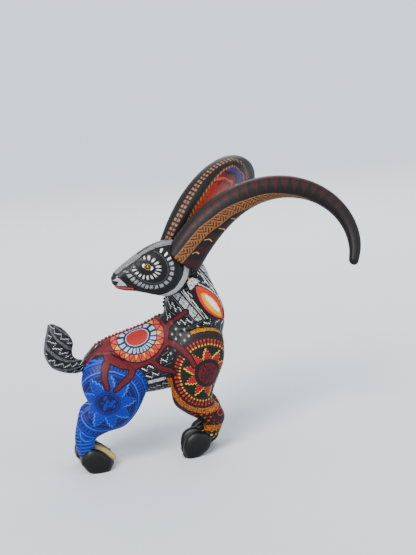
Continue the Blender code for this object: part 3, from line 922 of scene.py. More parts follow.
class Paint:
    """A material built up in layers of paint, each raised a little by its brush."""

    def __init__(self, name, ground):
        self.material = bpy.data.materials.new(name)
        self.material.use_nodes = True
        self.tree = self.material.node_tree
        self.shader = self.tree.nodes["Principled BSDF"]
        self.colour = ground
        self.height = None
        self.where = None

    def attribute(self, name):
        node = self.tree.nodes.new("ShaderNodeAttribute")
        node.attribute_name = name
        return node

    def value(self, name):
        return Num(self.tree, self.attribute(name).outputs["Fac"])

    def split(self, socket):
        node = self.tree.nodes.new("ShaderNodeSeparateXYZ")
        self.tree.links.new(socket, node.inputs[0])
        return [Num(self.tree, out) for out in node.outputs]

    def vector(self, name):
        return self.split(self.attribute(name).outputs["Vector"])

    def place(self):
        """Where the surface is, in millimetres."""
        if self.where is None:
            node = self.tree.nodes.new("ShaderNodeTexCoord")
            scale = self.tree.nodes.new("ShaderNodeVectorMath")
            scale.operation = "SCALE"
            scale.inputs["Scale"].default_value = MM
            self.tree.links.new(node.outputs["Object"], scale.inputs[0])
            self.where = scale.outputs[0]
        return self.where

    def cloud(self, scale, detail=2.0, rough=0.5):
        node = self.tree.nodes.new("ShaderNodeTexNoise")
        node.inputs["Scale"].default_value = scale
        node.inputs["Detail"].default_value = detail
        node.inputs["Roughness"].default_value = rough
        self.tree.links.new(self.place(), node.inputs["Vector"])
        return node

    def noise(self, scale, detail=2.0, rough=0.5):
        return Num(self.tree, self.cloud(scale, detail, rough).outputs["Fac"])

    def wobble(self, scale, reach):
        """Three small offsets that make a drawn line waver."""
        node = self.cloud(scale, 1.0)
        return [(part - 0.5) * reach for part in self.split(node.outputs["Color"])]

    def mix(self, share, one, two):
        node = self.tree.nodes.new("ShaderNodeMix")
        node.data_type = "RGBA"
        for place, value in ((node.inputs[0], share), (node.inputs[6], one),
                             (node.inputs[7], two)):
            if isinstance(value, Num):
                self.tree.links.new(value.socket, place)
            elif isinstance(value, bpy.types.NodeSocket):
                self.tree.links.new(value, place)
            else:
                place.default_value = value
        return node.outputs[2]

    def lay(self, mask, colour, lift=None):
        self.colour = self.mix(mask, self.colour, colour)
        if lift is not None:
            raised = mask * lift
            self.height = raised if self.height is None else self.height.most(raised)

    def bands(self, mask, value, *rows):
        """Bands of one value, each over the last: from, to, colour and lift."""
        for low, high, colour, lift in rows:
            self.lay(mask * value.within(low, high), colour, lift)

    def finish(self, roughness=(0.36, 0.52), coat=0.05, stroke=0.7):
        """Brush marks, slight changes of colour, and the satin of the varnish."""
        tree = self.tree
        cloud = self.noise(0.22, 3.0)
        brush = self.noise(1.3, 3.0, 0.65)
        shade = cloud * 0.26 + brush * 0.24 + 0.62
        tone = tree.nodes.new("ShaderNodeHueSaturation")
        tone.inputs["Saturation"].default_value = 1.06
        deep = tree.nodes.new("ShaderNodeGamma")
        deep.inputs["Gamma"].default_value = 1.45
        tree.links.new(shade.socket, tone.inputs["Value"])
        if isinstance(self.colour, tuple):
            self.colour = self.mix(brush, self.colour,
                                   tuple(c * 0.8 for c in self.colour[:3]) + (1.0,))
        tree.links.new(self.colour, tone.inputs["Color"])
        tree.links.new(tone.outputs[0], deep.inputs["Color"])
        tree.links.new(deep.outputs[0], self.shader.inputs["Base Color"])
        low, high = roughness
        shine = brush * (high - low) + low
        tree.links.new(shine.socket, self.shader.inputs["Roughness"])
        self.shader.inputs["Specular IOR Level"].default_value = 0.22
        self.shader.inputs["Coat Weight"].default_value = coat
        self.shader.inputs["Coat Roughness"].default_value = 0.22
        relief = brush * 0.35 + cloud * 0.2
        if self.height is not None:
            relief = relief + self.height
        bump = tree.nodes.new("ShaderNodeBump")
        bump.inputs["Strength"].default_value = stroke
        bump.inputs["Distance"].default_value = 0.00022
        tree.links.new(relief.socket, bump.inputs["Height"])
        tree.links.new(bump.outputs[0], self.shader.inputs["Normal"])
        return self.material


def stairs(u, v, pitch, height, levels):
    """How far inside a row of stepped pyramids a point is, in millimetres."""
    rise = (u.wave(pitch) * levels + 0.5).floor()
    return rise * (height / levels) - v


def fret_row(paint, u, v, pitch, height, levels, fill, line, width):
    """Stepped pyramids with a bright line down one flank."""
    outer = stairs(u, v, pitch, height, levels).above(0.0)
    inner = stairs(u + width, v + width, pitch, height, levels).above(0.0)
    paint.lay(outer, line, 0.5)
    paint.lay(outer * inner, fill, 0.3)


def cells(turn, count):
    """How far round from the middle of its cell a point is, 0 to half a cell."""
    return abs((turn * (count / math.tau)).frac() - 0.5)


# the rays of a painted disc: how wide one is drawn, and its number of steps
RAY_PITCH = 10.0
RAY_STEPS = 4.0


def ray_fan(paint, mask, turn, count, v, height, inset, edge, fill):
    """Stepped rays round a disc, edge colour first; gives the mask of the fill."""
    u = turn * (RAY_PITCH * count / math.tau)
    outer = stairs(u, v, RAY_PITCH, height, RAY_STEPS).above(0.0)
    inner = stairs(u + inset[0], v + inset[1], RAY_PITCH, height, RAY_STEPS).above(0.0)
    paint.lay(mask * outer, *edge)
    paint.lay(mask * outer * inner, *fill)
    return mask * outer * inner


def lattice(u, v, pitch):
    """Distance from the middle of a diamond cell, 0 to 1."""
    one = abs(((u + v) / pitch).frac() * 2.0 - 1.0)
    two = abs(((u - v) / pitch).frac() * 2.0 - 1.0)
    return one.most(two)


# ---------------------------------------------------------------- the body's paint

# Coral: runs of points with half widths at their two ends, on the right side
CORAL = (
    (((-132, -4, 106), (-119, -11.5, 117.3), (-110.8, -11.9, 121.3), (-109, -3.5, 126)),
     2.0, 3.0),
    (((-111.5, -18, 118), (-111.5, -25.4, 113.6), (-99, -29, 105.9), (-85.8, -26, 101.7),
      (-74.7, -25.1, 104.6), (-63.1, -24.9, 110.6), (-54.5, -23.3, 120),
      (-50.6, -18.4, 131.6)), 3.6, 2.7),
    (((-50.6, -18.4, 131.6), (-54.5, -12, 139.5), (-61.8, -4.4, 146)), 2.6, 2.0),
    (((-50.6, -17, 133.6), (-41, -22.5, 141), (-30.1, -24, 148.6)), 2.6, 1.6),
    (((-114.5, -29, 108), (-116.7, -31.2, 103.7), (-118.3, -33.8, 95.7),
      (-116.5, -35.6, 86.1)), 3.0, 1.6),
    (((-88, -28, 101), (-92, -32.2, 94.7), (-102, -35.7, 88.3), (-109, -36.7, 83.5)),
     3.0, 1.5),
    (((-67, -25, 107), (-69.3, -25.3, 104.9), (-61.5, -25.2, 95.9), (-49, -26.1, 90.5)),
     2.6, 2.0),
    (((-53.2, -23.1, 120.8), (-45.1, -24.7, 118), (-38.2, -31.3, 111.9),
      (-32.9, -34.2, 105.3), (-29.2, -35.8, 96.2)), 2.8, 1.8),
)
MEDALLION = (-79.5, -14.4, 127.6)
THIGH = (-117.8, -34.1, 70.4)
THIGH_RAYS = 9.0
SHOULDER = (-15.8, -35.4, 86.9)
SHOULDER_RAYS = 10.0
STRIPE = ((-82, -24, 79.5), (-60, -25, 82), (-44, -27, 83.5), (-25, -30, 84))
FAR = 1e9


def run_distance(points, line, first, last):
    """Distance to a run of points less a half width that changes along it."""
    line = np.array(line, dtype=float)
    starts = arc_lengths(line)
    best = np.full(len(points), FAR)
    for i, span in enumerate(np.diff(starts)):
        way = (line[i + 1] - line[i]) / span
        t = np.clip((points - line[i]) @ way, 0.0, span)
        off = np.linalg.norm(points - line[i] - t[:, None] * way, axis=1)
        share = (starts[i] + t) / starts[-1]
        best = np.minimum(best, off - (first + (last - first) * share))
    return best


def near_side(points):
    """The body's points brought to the right side, with the left legs' lead taken off."""
    x, y, z = points.T.copy()
    # all hind leg behind x -95, all foreleg ahead of x -40
    hind = bump_of(np.clip(x + 95.0, 0.0, None), 55.0)
    left = np.clip(y / 4.0, 0.0, 1.0)
    lead = 0.0
    for share, stations, table in ((1.0 - hind, FORELEG, FORELEG_LEAD),
                                   (hind, HINDLEG, HINDLEG_LEAD)):
        high = stations[0][1]
        lead = lead + share * lead_at(table, (high - z / MM) / (high - GROUND)) * MM
    # the lead fades out up the trunk, and the neck's bend sets in above it
    x -= lead * left * bump_of(np.clip(z - 90.0, 0.0, None), 40.0)
    bend = np.clip((z - 140.0) / 15.0, 0.0, 1.0)
    _, _, heights, middles, _ = np.array(NECK).T * MM
    y = -np.abs(y - np.interp(z, heights, middles) * bend)
    return np.stack([x, y, z], 1)


def chart_body(body):
    spot = near_side(points_of(body))
    store(body, "spot", spot)
    coral = np.full(len(spot), FAR)
    # distances count less across the body, so that a branch keeps its width as drawn
    flatter = np.array((1.0, 0.35, 1.0))
    for line, first, last in CORAL:
        line = near_side(np.array(line, dtype=float))
        coral = np.minimum(coral, run_distance(spot * flatter, line * flatter, first, last))
    # none on the belly and between the legs
    hidden = (spot[:, 1] > -14.0) & (spot[:, 2] < 100.0)
    coral[hidden] = np.maximum(coral[hidden], 9.0)
    store(body, "coral", coral)
    store(body, "stripe", run_distance(spot, STRIPE, 3.2, 3.6))
    # the bands of the neck follow the near ear, as seen from the side
    flat = points_of(body)
    flat[:, 1] = 0.0
    axis = [head_frame() @ Vector(s[:3]) * MM for s in EARS["left"]]
    line = [(p.x, 0.0, p.z) for p in axis]
    store(body, "leaf", run_distance(flat, line, 0.0, 0.0))


def ring_parts(x, y, z, centre):
    """Distance from a disc's middle, and the way round it from the front."""
    dx = x - centre[0]
    dy = y - centre[1]
    dz = z - centre[2]
    return hypot(dx, dy, dz), dz.angle(dx)


def paint_ground(p, x, y, z, speck):
    """Frets, diamonds and lines over the black ground."""
    ashen = p.mix(speck, GREY, SOOT)
    dusk = p.mix(speck, DIM, BLACK)
    u = x * 0.94 + z * 0.34 - y * 0.9
    v = z * 0.94 - x * 0.34 - y * 0.9
    row = (v / 10.5).frac() * 10.5
    fret_row(p, u, row - 1.0, 7.4, 5.4, 3.0, dusk, WHITE, 0.55)
    p.lay(row.within(8.2, 8.8), GREY, 0.4)
    net = x.within(-52.0, -24.0) * z.within(104.0, 134.0)
    p.lay(net, BLACK)
    cell = lattice(x * 0.9 - z * 0.2, z * 0.75 + x * 0.1, 7.0)
    p.lay(net * cell.below(0.52), ashen, 0.3)
    p.lay(net * cell.below(0.20), PALE, 0.5)
    p.lay(net * cell.within(0.78, 0.86, 0.04), DIM, 0.3)


def paint_belly(p, x, y, z, stripe, pale):
    """A pale stripe along the belly, and hatching below it."""
    p.lay(stripe.below(2.4), BLACK)
    p.lay(stripe.below(0.6), pale, 0.4)
    belly = z.below(76.0) * x.within(-84.0, -20.0) * y.above(-24.0)
    p.lay(belly * (x + z).wave(3.4).above(0.62, 0.1), DIM, 0.3)


def paint_neck(p, x, z, leaf, pale):
    """Bands that follow the ear."""
    neck = z.above(138.5)
    p.bands(neck, leaf, (11.4, 25.0, BLACK, None), (13.2, 14.0, PALE, 0.4),
            (15.6, 22.0, pale, 0.4))
    p.lay(neck * leaf.within(15.6, 22.0) * (leaf + z * 1.1).wave(11.0).below(0.10), BLACK)
    p.lay(neck * leaf.within(23.2, 23.9), GREY, 0.4)
    spots = (x * 1.3 + z * 0.7).wave(3.1).above(0.45) * leaf.within(10.6, 12.4)
    p.lay(neck * spots, WHITE, 0.5)


def paint_medallion(p, x, y, z, coral, grain, speck):
    """Branches of coral, and the toothed disc on the flank."""
    r, turn = ring_parts(x, y, z, MEDALLION)
    flat = follow(r, ((8.0, 1.30), (28.0, 1.04)))
    dx = x - MEDALLION[0]
    dz = z - MEDALLION[2]
    r = hypot(dx * 0.94 + dz * 0.34, (dz * 0.94 - dx * 0.34) * flat,
              (y - MEDALLION[1]) * flat)
    p.lay(r.below(31.5) * coral.above(0.4), CRIMSON_DEEP)
    p.lay(r.below(31.0), p.mix(grain.below(0.45, 0.1), CRIMSON, CRIMSON_DEEP), 0.5)
    p.lay(coral.below(1.5), BLACK)
    flesh = p.mix(grain.below(0.46, 0.12), CRIMSON, CRIMSON_DEEP)
    p.lay(coral.below(0.0), flesh, 0.9)
    p.lay(r.below(30.2) * z.above(118.0), flesh, 0.5)
    p.lay(r.below(27.6), BLACK)
    blush = p.mix(grain.below(0.48, 0.1), ORANGE, PINK)
    p.lay(r.below(26.6), blush, 0.5)
    teeth = turn * (26.0 / math.tau)
    spike = ((r - 20.5) / 6.1).flip() - abs(teeth.frac() * 2.0 - 1.0)
    other = (teeth * 0.5).frac().above(0.5, 0.02)
    p.lay(r.within(20.9, 26.6) * abs(spike).below(0.14, 0.1), BLACK)
    p.lay(r.within(20.9, 26.2) * spike.above(0.0, 0.12) * spike.above(0.16, 0.1),
          p.mix(other, YELLOW, PINK), 0.7)
    p.lay(r.below(20.7), BLACK)
    p.lay(r.below(19.8), NAVY, 0.3)
    tile = cells(turn, 24.0)
    p.lay(r.within(14.3, 19.6) * tile.below(0.30, 0.06), ICE, 0.7)
    p.lay(r.within(15.4, 18.8) * tile.below(0.10, 0.05) * speck, NAVY, 0.4)
    p.lay(r.below(12.0), ICE, 0.3)
    p.lay(r.below(11.3), p.mix(grain.below(0.47, 0.12), CORE, CORE_PALE), 0.8)
    p.lay(y.above(-3.2) * x.within(-128.0, -56.0) * z.above(112.0), flesh, 0.6)


def paint_thigh(p, x, y, z, bare, grain):
    """The blue hind leg, with its disc of rays."""
    r, turn = ring_parts(x, y, z, THIGH)
    leg = r.below(45.4, 0.3).most(z.below(60.0) * x.below(-66.0))
    outside = z.below(62.0).most(y.below(-13.0, 0.6))
    leg = leg * x.below(-64.0) * outside
    edge = r.below(46.8, 0.3).most(z.below(60.0) * x.below(-64.0)) * x.below(-62.0)
    edge = edge * z.below(62.0).most(y.below(-12.0, 0.6))
    p.lay(edge * bare, BLACK)
    leg = leg * bare
    blue = p.mix(grain.below(0.50, 0.2), COBALT, tint("053894"))
    p.lay(leg, blue, 0.2)
    p.bands(leg, r, (29.8, 30.8, DEEP_BLUE, 0.3), (31.4, 32.2, SKY, 0.4),
            (38.6, 39.3, DEEP_BLUE, 0.3), (40.4, 41.0, SKY, 0.3))
    comb = (turn * (64.0 / math.tau)).frac().below(0.45, 0.1)
    p.lay(leg * r.within(33.2, 37.4) * comb, DEEP_BLUE, 0.5)
    petals = ray_fan(p, leg * r.within(13.5, 28.4), turn, THIGH_RAYS, 28.4 - r, 13.0,
                     (0.7, 0.9), (SKY, 0.6), (DEEP_BLUE, 0.4))
    p.lay(petals * r.below(27.0) * r.wave(3.2).above(0.72, 0.1), blue, 0.4)
    p.lay(leg * r.below(13.6), blue, 0.2)
    p.bands(leg, r, (12.2, 13.0, DEEP_BLUE, 0.3), (10.6, 11.6, DEEP_BLUE, 0.5))
    motif = (abs(turn * 4.0 + 0.6).sin() * 2.6 + 6.0) - r
    p.lay(leg * r.below(10.0) * motif.below(0.0, 0.4), DEEP_BLUE, 0.5)
    p.lay(leg * hypot(x - THIGH[0], z - THIGH[2] - 2.0).within(2.2, 3.0), DEEP_BLUE, 0.5)
    p.lay(leg * (x * 0.8 - z * 0.5).wave(4.2).above(0.80, 0.1) * r.below(6.5), DEEP_BLUE,
          0.5)
    low = leg * r.above(42.0)
    shin = hypot(x + 139.0, z - 39.0)
    p.bands(low, shin, (4.0, 4.9, DEEP_BLUE, 0.5), (7.0, 7.8, SKY, 0.5))
    p.lay(low * shin.below(2.2), DEEP_BLUE, 0.5)
    dash = (x * 0.9 + y * 0.5).wave(2.6).above(0.55, 0.15)
    rows = z.wave(3.6)
    p.lay(low * shin.above(9.6) * rows.above(0.55, 0.15) * dash, DEEP_BLUE, 0.5)
    p.lay(low * shin.above(9.6) * rows.below(0.14, 0.1), SKY, 0.3)


def paint_foreleg(p, x, y, z, bare, grain):
    """The dark foreleg, with its disc of rays."""
    r, turn = ring_parts(x, y, SHOULDER[2] + (z - SHOULDER[2]).most(
        (z - SHOULDER[2]) * 0.93), SHOULDER)
    reach = r.below(37.0).most(r.below(42.5) * z.below(86.0)).most(
        z.below(70.0) * x.above(-60.0))
    reach = reach * x.above(-58.0) * z.below(66.0).most(y.below(-11.0, 0.6))
    fore = reach * bare
    p.lay(r.below(37.5).most(r.below(46.0) * x.above(-29.0)) * z.above(84.0)
          * x.above(-50.0) * bare, BLACK)
    chest = z.above(112.0) * x.above(-28.0) * bare
    p.bands(chest, r, (41.4, 44.6, p.mix(grain.below(0.46, 0.1), GOLD, RUST), 0.6),
            (38.4, 39.2, CLARET, 0.4))
    p.lay(fore, BLACK)
    ochre = p.mix(grain.below(0.47, 0.1), OCHRE, RUST)
    p.lay(fore * r.within(36.4, 42.0) * z.below(84.0), ochre, 0.5)
    p.lay(fore * r.within(34.7, 35.4), CLARET, 0.4)
    dashes = cells(turn, 54.0).below(0.25, 0.1)
    p.bands(fore * dashes, r, (27.5, 29.2, YELLOW, 0.8),
            (29.4, 31.6, p.mix(grain.below(0.5), RED, CRIMSON), 0.8),
            (31.8, 33.7, p.mix(grain.below(0.5), RED, ORANGE), 0.8))
    p.lay(fore * r.within(25.9, 26.8), CLARET, 0.5)
    ray_fan(p, fore * r.within(14.2, 25.0), turn, SHOULDER_RAYS, r - 14.2, 10.6,
            (0.6, 0.5), (LEMON, 0.7), (p.mix(grain.below(0.5), RED, CRIMSON), 0.5))
    p.lay(fore * r.below(12.9), MAROON, 0.3)
    p.lay(fore * r.below(12.0), BLACK)
    p.lay(fore * r.below(10.4), p.mix(grain.below(0.50, 0.1), CRIMSON, MAROON), 0.6)
    figure = (turn * 4.0).sin() * 2.4 + 5.6 - r
    p.lay(fore * r.below(9.2) * abs(figure).below(0.55, 0.3), BLACK, 0.3)
    p.lay(fore * r.below(3.4) * (x + z).wave(2.8).above(0.6, 0.2), BLACK, 0.3)
    low = fore * r.above(42.4)
    p.lay(low, p.mix(grain.below(0.52, 0.2), MAROON, tint("2a0a14")), 0.2)
    knee = hypot(x + 4.0, z - 41.0)
    p.bands(low, knee, (3.0, 4.0, RED, 0.6), (6.0, 6.7, BLACK, 0.3),
            (8.4, 9.2, tint("7a1c2c"), 0.4))
    p.lay(low * z.below(29.4), BLACK)
    p.lay(low * z.within(22.4, 28.6), ochre, 0.5)
    dots = hypot((x * 0.5 + y * 0.5).wave(2.4).flip(), (z / 4.0).wave(1.0).flip())
    p.lay(low * z.below(21.6) * dots.below(0.5, 0.15), YELLOW, 0.7)
    p.lay(low * z.within(30.2, 46.0) * knee.above(10.5) * dots.below(0.42, 0.15), ORANGE, 0.6)


def paint_body():
    p = Paint("body_paint", BLACK)
    x, y, z = p.vector("spot")
    wx, wy, wz = p.wobble(0.22, 1.6)
    x = x + wx
    z = z + wz
    coral = p.value("coral") + wy * 0.6
    stripe = p.value("stripe") + wy * 0.5
    leaf = p.value("leaf") + wy * 0.5
    grain = p.noise(1.1, 1.0)
    speck = grain.below(0.44, 0.10)
    pale = p.mix(speck, PALE, DIM)
    bare = coral.above(1.5)
    paint_ground(p, x, y, z, speck)
    paint_belly(p, x, y, z, stripe, pale)
    paint_neck(p, x, z, leaf, pale)
    paint_medallion(p, x, y, z, coral, grain, speck)
    paint_thigh(p, x, y, z, bare, grain)
    paint_foreleg(p, x, y, z, bare, grain)
    return p.finish((0.46, 0.62), 0.03)


# ---------------------------------------------------------------- the head's paint

MASK = (-40.5, 8.0)
# round the mask from below the nose: way round, distance to its edge
MASK_IN = ((-3.15, 17.6), (-2.79, 14.0), (-2.15, 12.3), (-1.52, 14.0), (-1.10, 16.4),
           (-0.65, 17.4), (-0.26, 16.6), (0.28, 15.9), (0.77, 16.2), (1.14, 16.0),
           (1.48, 14.0), (2.22, 12.1), (2.76, 13.8), (3.15, 17.6))
MASK_OUT = ((-3.15, 29.0), (-2.93, 29.0), (-2.62, 25.0), (-2.16, 22.4), (-1.77, 22.6),
            (-1.42, 25.0), (-1.15, 29.4), (-0.95, 32.0), (-0.75, 33.3), (-0.50, 32.0),
            (-0.24, 30.0), (0.07, 27.6), (0.38, 25.5), (0.73, 24.0), (1.14, 23.0),
            (3.15, 29.0))
# lower edge of the band over the nose and forehead: x, z
BAND_LOW = ((-75.0, 3.0), (-70.4, 5.5), (-64.8, 9.1), (-59.3, 11.9), (-53.6, 14.8),
            (-47.4, 18.3), (-41.2, 21.5), (-35.5, 23.6), (-29.8, 25.2), (-20.0, 26.2))


def paint_tiles(p, x, low, edge, ring, rise, turn, grain, fine):
    """Tiles below and behind the mask."""
    wedge = cells(turn, 27.0)
    marble = p.mix(grain.below(0.47, 0.10), GREY, DIM)
    tiled = low * edge.below(-1.0) * turn.below(0.25)
    p.lay(tiled * ring.within(2.2, 7.6) * wedge.below(0.40, 0.05), marble, 0.5)
    p.lay(tiled * ring.within(3.0, 6.8) * wedge.below(0.30, 0.05)
          * fine.above(0.52, 0.06), PALE, 0.4)
    p.lay(low * ring.within(2.4, 7.0) * wedge.below(0.17, 0.06) * turn.within(0.25, 1.2),
          WHITE, 0.5)
    p.lay(low * ring.within(0.1, 1.1), SLATE, 0.4)
    p.lay(rise.within(-3.4, -2.5) * x.below(-48.0), SLATE, 0.4)


def paint_eye(p, x, z, ring, fine):
    """The eye, with a ring of dashes round it."""
    along, high = eye_axes(x + 1.9, z + 1.0)
    along = along / 11.6
    high = (high - 0.6) / 9.2
    oval = hypot(along, high)
    lap = high.angle(along)
    dash = cells(lap, 19.0).below(0.24, 0.08)
    shown = lap.below(2.3) * lap.above(-2.85)
    p.lay(oval.within(0.80, 1.24) * dash * shown * ring.below(-0.6),
          p.mix(fine.below(0.45, 0.1), WHITE, GREY), 0.7)
    p.lay(oval.below(0.74), tint("17101c"), 0.2)

    across, up = eye_axes(x, z)
    lid = hypot(across / EYE_SIZE[0], up / EYE_SIZE[1])
    p.lay(lid.below(1.10, 0.08), tint("0c080e"), 0.2)
    p.lay(lid.below(0.82, 0.06) * abs(across).above(3.1), WHITE, 0.4)
    iris = hypot(across, up)
    p.lay(iris.below(3.3), BLACK)
    p.lay(iris.within(2.45, 2.75), AMBER, 0.5)
    p.lay(iris.within(0.7, 1.05) * up.below(0.4), AMBER, 0.4)
    # a small white dot high in the iris, towards the nose: a painted highlight, the glint of
    # light on the eye
    p.lay(hypot(across + 0.6, up - 0.7).below(0.4), WHITE, 0.6)


def paint_brow(p, x, y, rise, light):
    """The band over the nose and forehead."""
    ridge = abs(y)
    p.lay(rise.above(-1.3) * x.below(-8.0), BLACK)
    p.lay(rise.above(0.0) * x.below(-8.0) * ridge.below(12.0), light, 0.5)
    p.lay(rise.above(0.0) * ridge.below(1.6) * x.within(-47.0, -12.0), BLACK)


def paint_muzzle(p, x, y, z, rise, pale, light):
    """Nose, lip, mouth and chin."""
    p.lay(x.below(-62.0) * rise.below(-1.2) * z.below(-1.0), BLACK)
    muzzle = hypot(x + 73.6, y * 0.8, z - 2.8)
    slope = z + x * 1.15 + 78.75
    front = x - z * 0.29 + 70.4
    p.lay(slope.below(0.0) * front.above(0.0) * (z + (x + 72.0) * 0.12 + 5.8).above(0.0),
          pale, 0.6)
    p.lay(muzzle.below(3.9), tint("08060a"))
    p.lay(muzzle.below(3.3), tint("2a1730"), 0.4)
    mouth = z - mouth_line(x)
    p.lay(abs(mouth).below(1.9) * x.below(-53.0), BLACK)
    p.lay(abs(mouth).below(1.0) * x.within(-80.0, -55.5), tint("d06a6c"), 0.4)
    chin = mouth.below(-2.2) * x.below(-50.0)
    p.lay(chin * mouth.above(-4.2) * x.above(-70.0), light, 0.4)


def paint_head():
    p = Paint("head_paint", BLACK)
    x, y, z = p.vector("spot")
    wx, _, wz = p.wobble(0.30, 1.0)
    x = x + wx
    z = z + wz
    grain = p.noise(1.2, 1.0)
    fine = p.noise(2.0, 1.0)
    speck = fine.below(0.44, 0.10)
    pale = p.mix(speck, PALE, GREY)

    dx = x - MASK[0]
    dz = z - MASK[1]
    turn = dz.angle(dx)
    reach = hypot(dx, dz)
    ring = reach - follow(turn, MASK_IN)
    edge = reach - follow(turn, MASK_OUT)
    rise = z - follow(x, BAND_LOW)
    low = rise.below(-1.2)

    # back of the jaw
    back = hypot(x + 38.0, z - 8.0)
    p.lay(back.within(32.4, 39.4) * z.below(10.0) * edge.above(1.6), pale, 0.5)
    p.lay(back.above(41.0), BLACK)
    p.lay(low * edge.within(0.0, 0.7) * turn.below(0.3), DIM, 0.4)

    light = p.mix(fine.below(0.49, 0.10), tint("a8a8aa"), tint("56565a"))
    paint_tiles(p, x, low, edge, ring, rise, turn, grain, fine)
    paint_eye(p, x, z, ring, fine)
    paint_brow(p, x, y, rise, light)
    paint_muzzle(p, x, y, z, rise, pale, light)
    return p.finish((0.46, 0.62))


def mouth_line(x):
    """Height of the mouth at x, in the head's frame."""
    return (x + 72.0) * -0.22 - 7.4


def chart_head(head):
    spot = local_points(points_of(head))
    spot[:, 1] = -np.abs(spot[:, 1])
    store(head, "spot", spot)


# ---------------------------------------------------------------- horns, ears, tail

# the key band on a horn's outer face: run, and sine of the way round
KEY_MIDDLE = ((-8.0, -0.42), (10.0, -0.22), (27.0, -0.07), (41.0, 0.16), (57.0, 0.28),
              (79.0, 0.60), (101.0, 0.76), (122.0, 0.92), (146.0, 1.02))
KEY_HALF = ((-8.0, 0.31), (10.0, 0.36), (27.0, 0.38), (41.0, 0.37), (57.0, 0.33),
            (79.0, 0.29), (101.0, 0.25), (122.0, 0.13), (150.0, 0.04))
# on the inner face: run, and the way round from the ridge of the rows of dashes and
# of the thin key line
DASH_LINE = ((0.0, 12.0), (29.0, 14.0), (51.0, 9.0), (73.0, 4.0), (91.0, 6.0),
             (108.0, 16.0), (118.0, 52.0), (129.0, 96.0), (145.0, 122.0))
THIN_LINE = ((0.0, 52.0), (40.0, 49.0), (54.0, 50.0), (73.0, 46.0), (88.0, 42.0),
             (102.0, 48.0), (115.0, 96.0), (139.0, 136.0), (160.0, 160.0))


def paint_outer_face(p, run, s, side, grain):
    """A horn's outer face: zigzags, key band and scallops."""
    centre = follow(run, KEY_MIDDLE)
    half = follow(run, KEY_HALF)
    upper = centre - half
    crest = (upper - 0.86) * 0.5 + (run.wave(9.6) - 0.5) * (upper + 0.74)
    blood = p.mix(grain, tint("3c0e14"), tint("5a1a1e"))
    fade = run.ramp(186.0, 130.0) * 0.35 + 0.65
    p.lay(side * s.above(-0.88, 0.05) * (s - crest).below(0.0, 0.10)
          * (s - upper).below(-0.12, 0.04) * fade, blood, 0.5)
    p.lay(side * abs(s - crest).below(0.06, 0.05) * (s - upper).below(-0.12, 0.04),
          tint("0c0708"), 0.2)
    off = s - centre
    band = abs(off) - half
    p.lay(side * band.below(0.10, 0.03) * run.below(150.0), BLACK)
    gild = p.mix(grain.below(0.5, 0.2), TAN, tint("8a6840"))
    strip = side * band.below(0.0, 0.03) * run.below(148.0)
    p.lay(strip, p.mix(grain.below(0.5, 0.2), RUST, tint("6a2a12")), 0.2)
    ucell = (run / 9.0).frac()
    vcell = (off / half) * 0.5 + 0.5
    over = (vcell - ucell).above(0.0, 0.04)
    lines_a = ((ucell + vcell) * 2.6).frac().below(0.52, 0.14)
    lines_b = ((ucell - vcell) * 2.6).frac().below(0.52, 0.14)
    p.lay(strip * over * lines_a, gild, 0.7)
    p.lay(strip * over.flip() * lines_b, gild, 0.7)
    p.lay(strip * abs(band).below(0.05, 0.02), gild, 0.7)
    down = s - centre - half
    under = side * down.above(0.10, 0.03) * run.below(112.0)
    hoop = (run / 16.0 - s * 0.55).frac()
    p.lay(under * hoop.within(0.10, 0.62, 0.1) * s.below(0.95, 0.1),
          p.mix(grain, tint("360d14"), tint("54161e")), 0.4)
    lash = hoop - 0.10 + (down * 16.0).sin() * 0.05
    p.lay(under * abs(lash).below(0.034, 0.05) * down.below(0.50, 0.05) * run.below(84.0),
          tint("cfae74"), 0.8)


def paint_inner_face(p, run, way, inner, grain):
    """A horn's inner face: dashes, key line, flames and violet."""
    back = way.above(-30.0, 2.0)
    p.lay(inner, tint("0e090b"))
    line = way - follow(run, DASH_LINE)
    beads = run.wave(4.4).above(0.42, 0.12) * back
    rows = abs(abs(line) - 6.0).below(4.4, 0.8)
    p.lay(rows * beads * run.within(4.0, 150.0, 2.0),
          p.mix(grain.below(0.5, 0.2), COPPER, tint("8a5c4a")), 0.8)
    thin = way - follow(run, THIN_LINE)
    glow = inner * thin.above(4.0, 1.0) * run.below(176.0, 2.0)
    climb = run - way * 0.30 + (run * 0.35).sin() * 1.2
    tongue = climb + (way * 0.28).sin() * 3.2
    p.lay(glow, p.mix(grain.below(0.5, 0.2), tint("cc5c10"), tint("96380a")), 0.3)
    p.lay(glow * tongue.above(42.0, 2.0), p.mix(grain, tint("9c1a10"), tint("c03a14")), 0.4)
    p.lay(glow * tongue.above(55.0, 2.0), p.mix(grain, tint("5c0e16"), FLAME), 0.4)
    p.lay(glow * climb.within(60.0, 64.0, 1.5), tint("d0601c"), 0.4)
    p.lay(glow * climb.above(72.0, 1.0), BLACK)
    p.lay(glow * climb.above(77.0, 1.0), p.mix(grain, PURPLE, tint("5a3088")), 0.5)
    p.lay(glow * climb.above(92.0, 1.0) * (run.wave(5.0) * way.wave(24.0)).above(0.5, 0.1),
          tint("d080b0"), 0.6)
    p.lay(inner * abs(thin).below(4.6, 1.0) * run.below(170.0),
          p.mix((run * 1.4 + way * 0.3).sin().ramp(-0.2, 0.2), TAN, tint("7a4020")), 0.6)


def paint_horn():
    p = Paint("horn_paint", UMBER)
    run, c, s = p.vector("chart")
    wx, wy, _ = p.wobble(0.16, 1.2)
    run = run + wx
    s = s + wy * 0.03
    grain = p.noise(0.9, 2.0)
    streak = p.noise(0.35, 3.0)
    side = c.above(0.0, 0.04)
    p.lay(streak.ramp(0.35, 0.75), tint("221013"))

    way = (-c).angle(-s) * (180.0 / math.pi)
    paint_outer_face(p, run, s, side, grain)
    paint_inner_face(p, run, way, side.flip(), grain)
    p.lay(run.above(182.0, 6.0), p.mix(streak, tint("1a0d10"), tint("2c171a")))
    return p.finish((0.50, 0.66), 0.02)


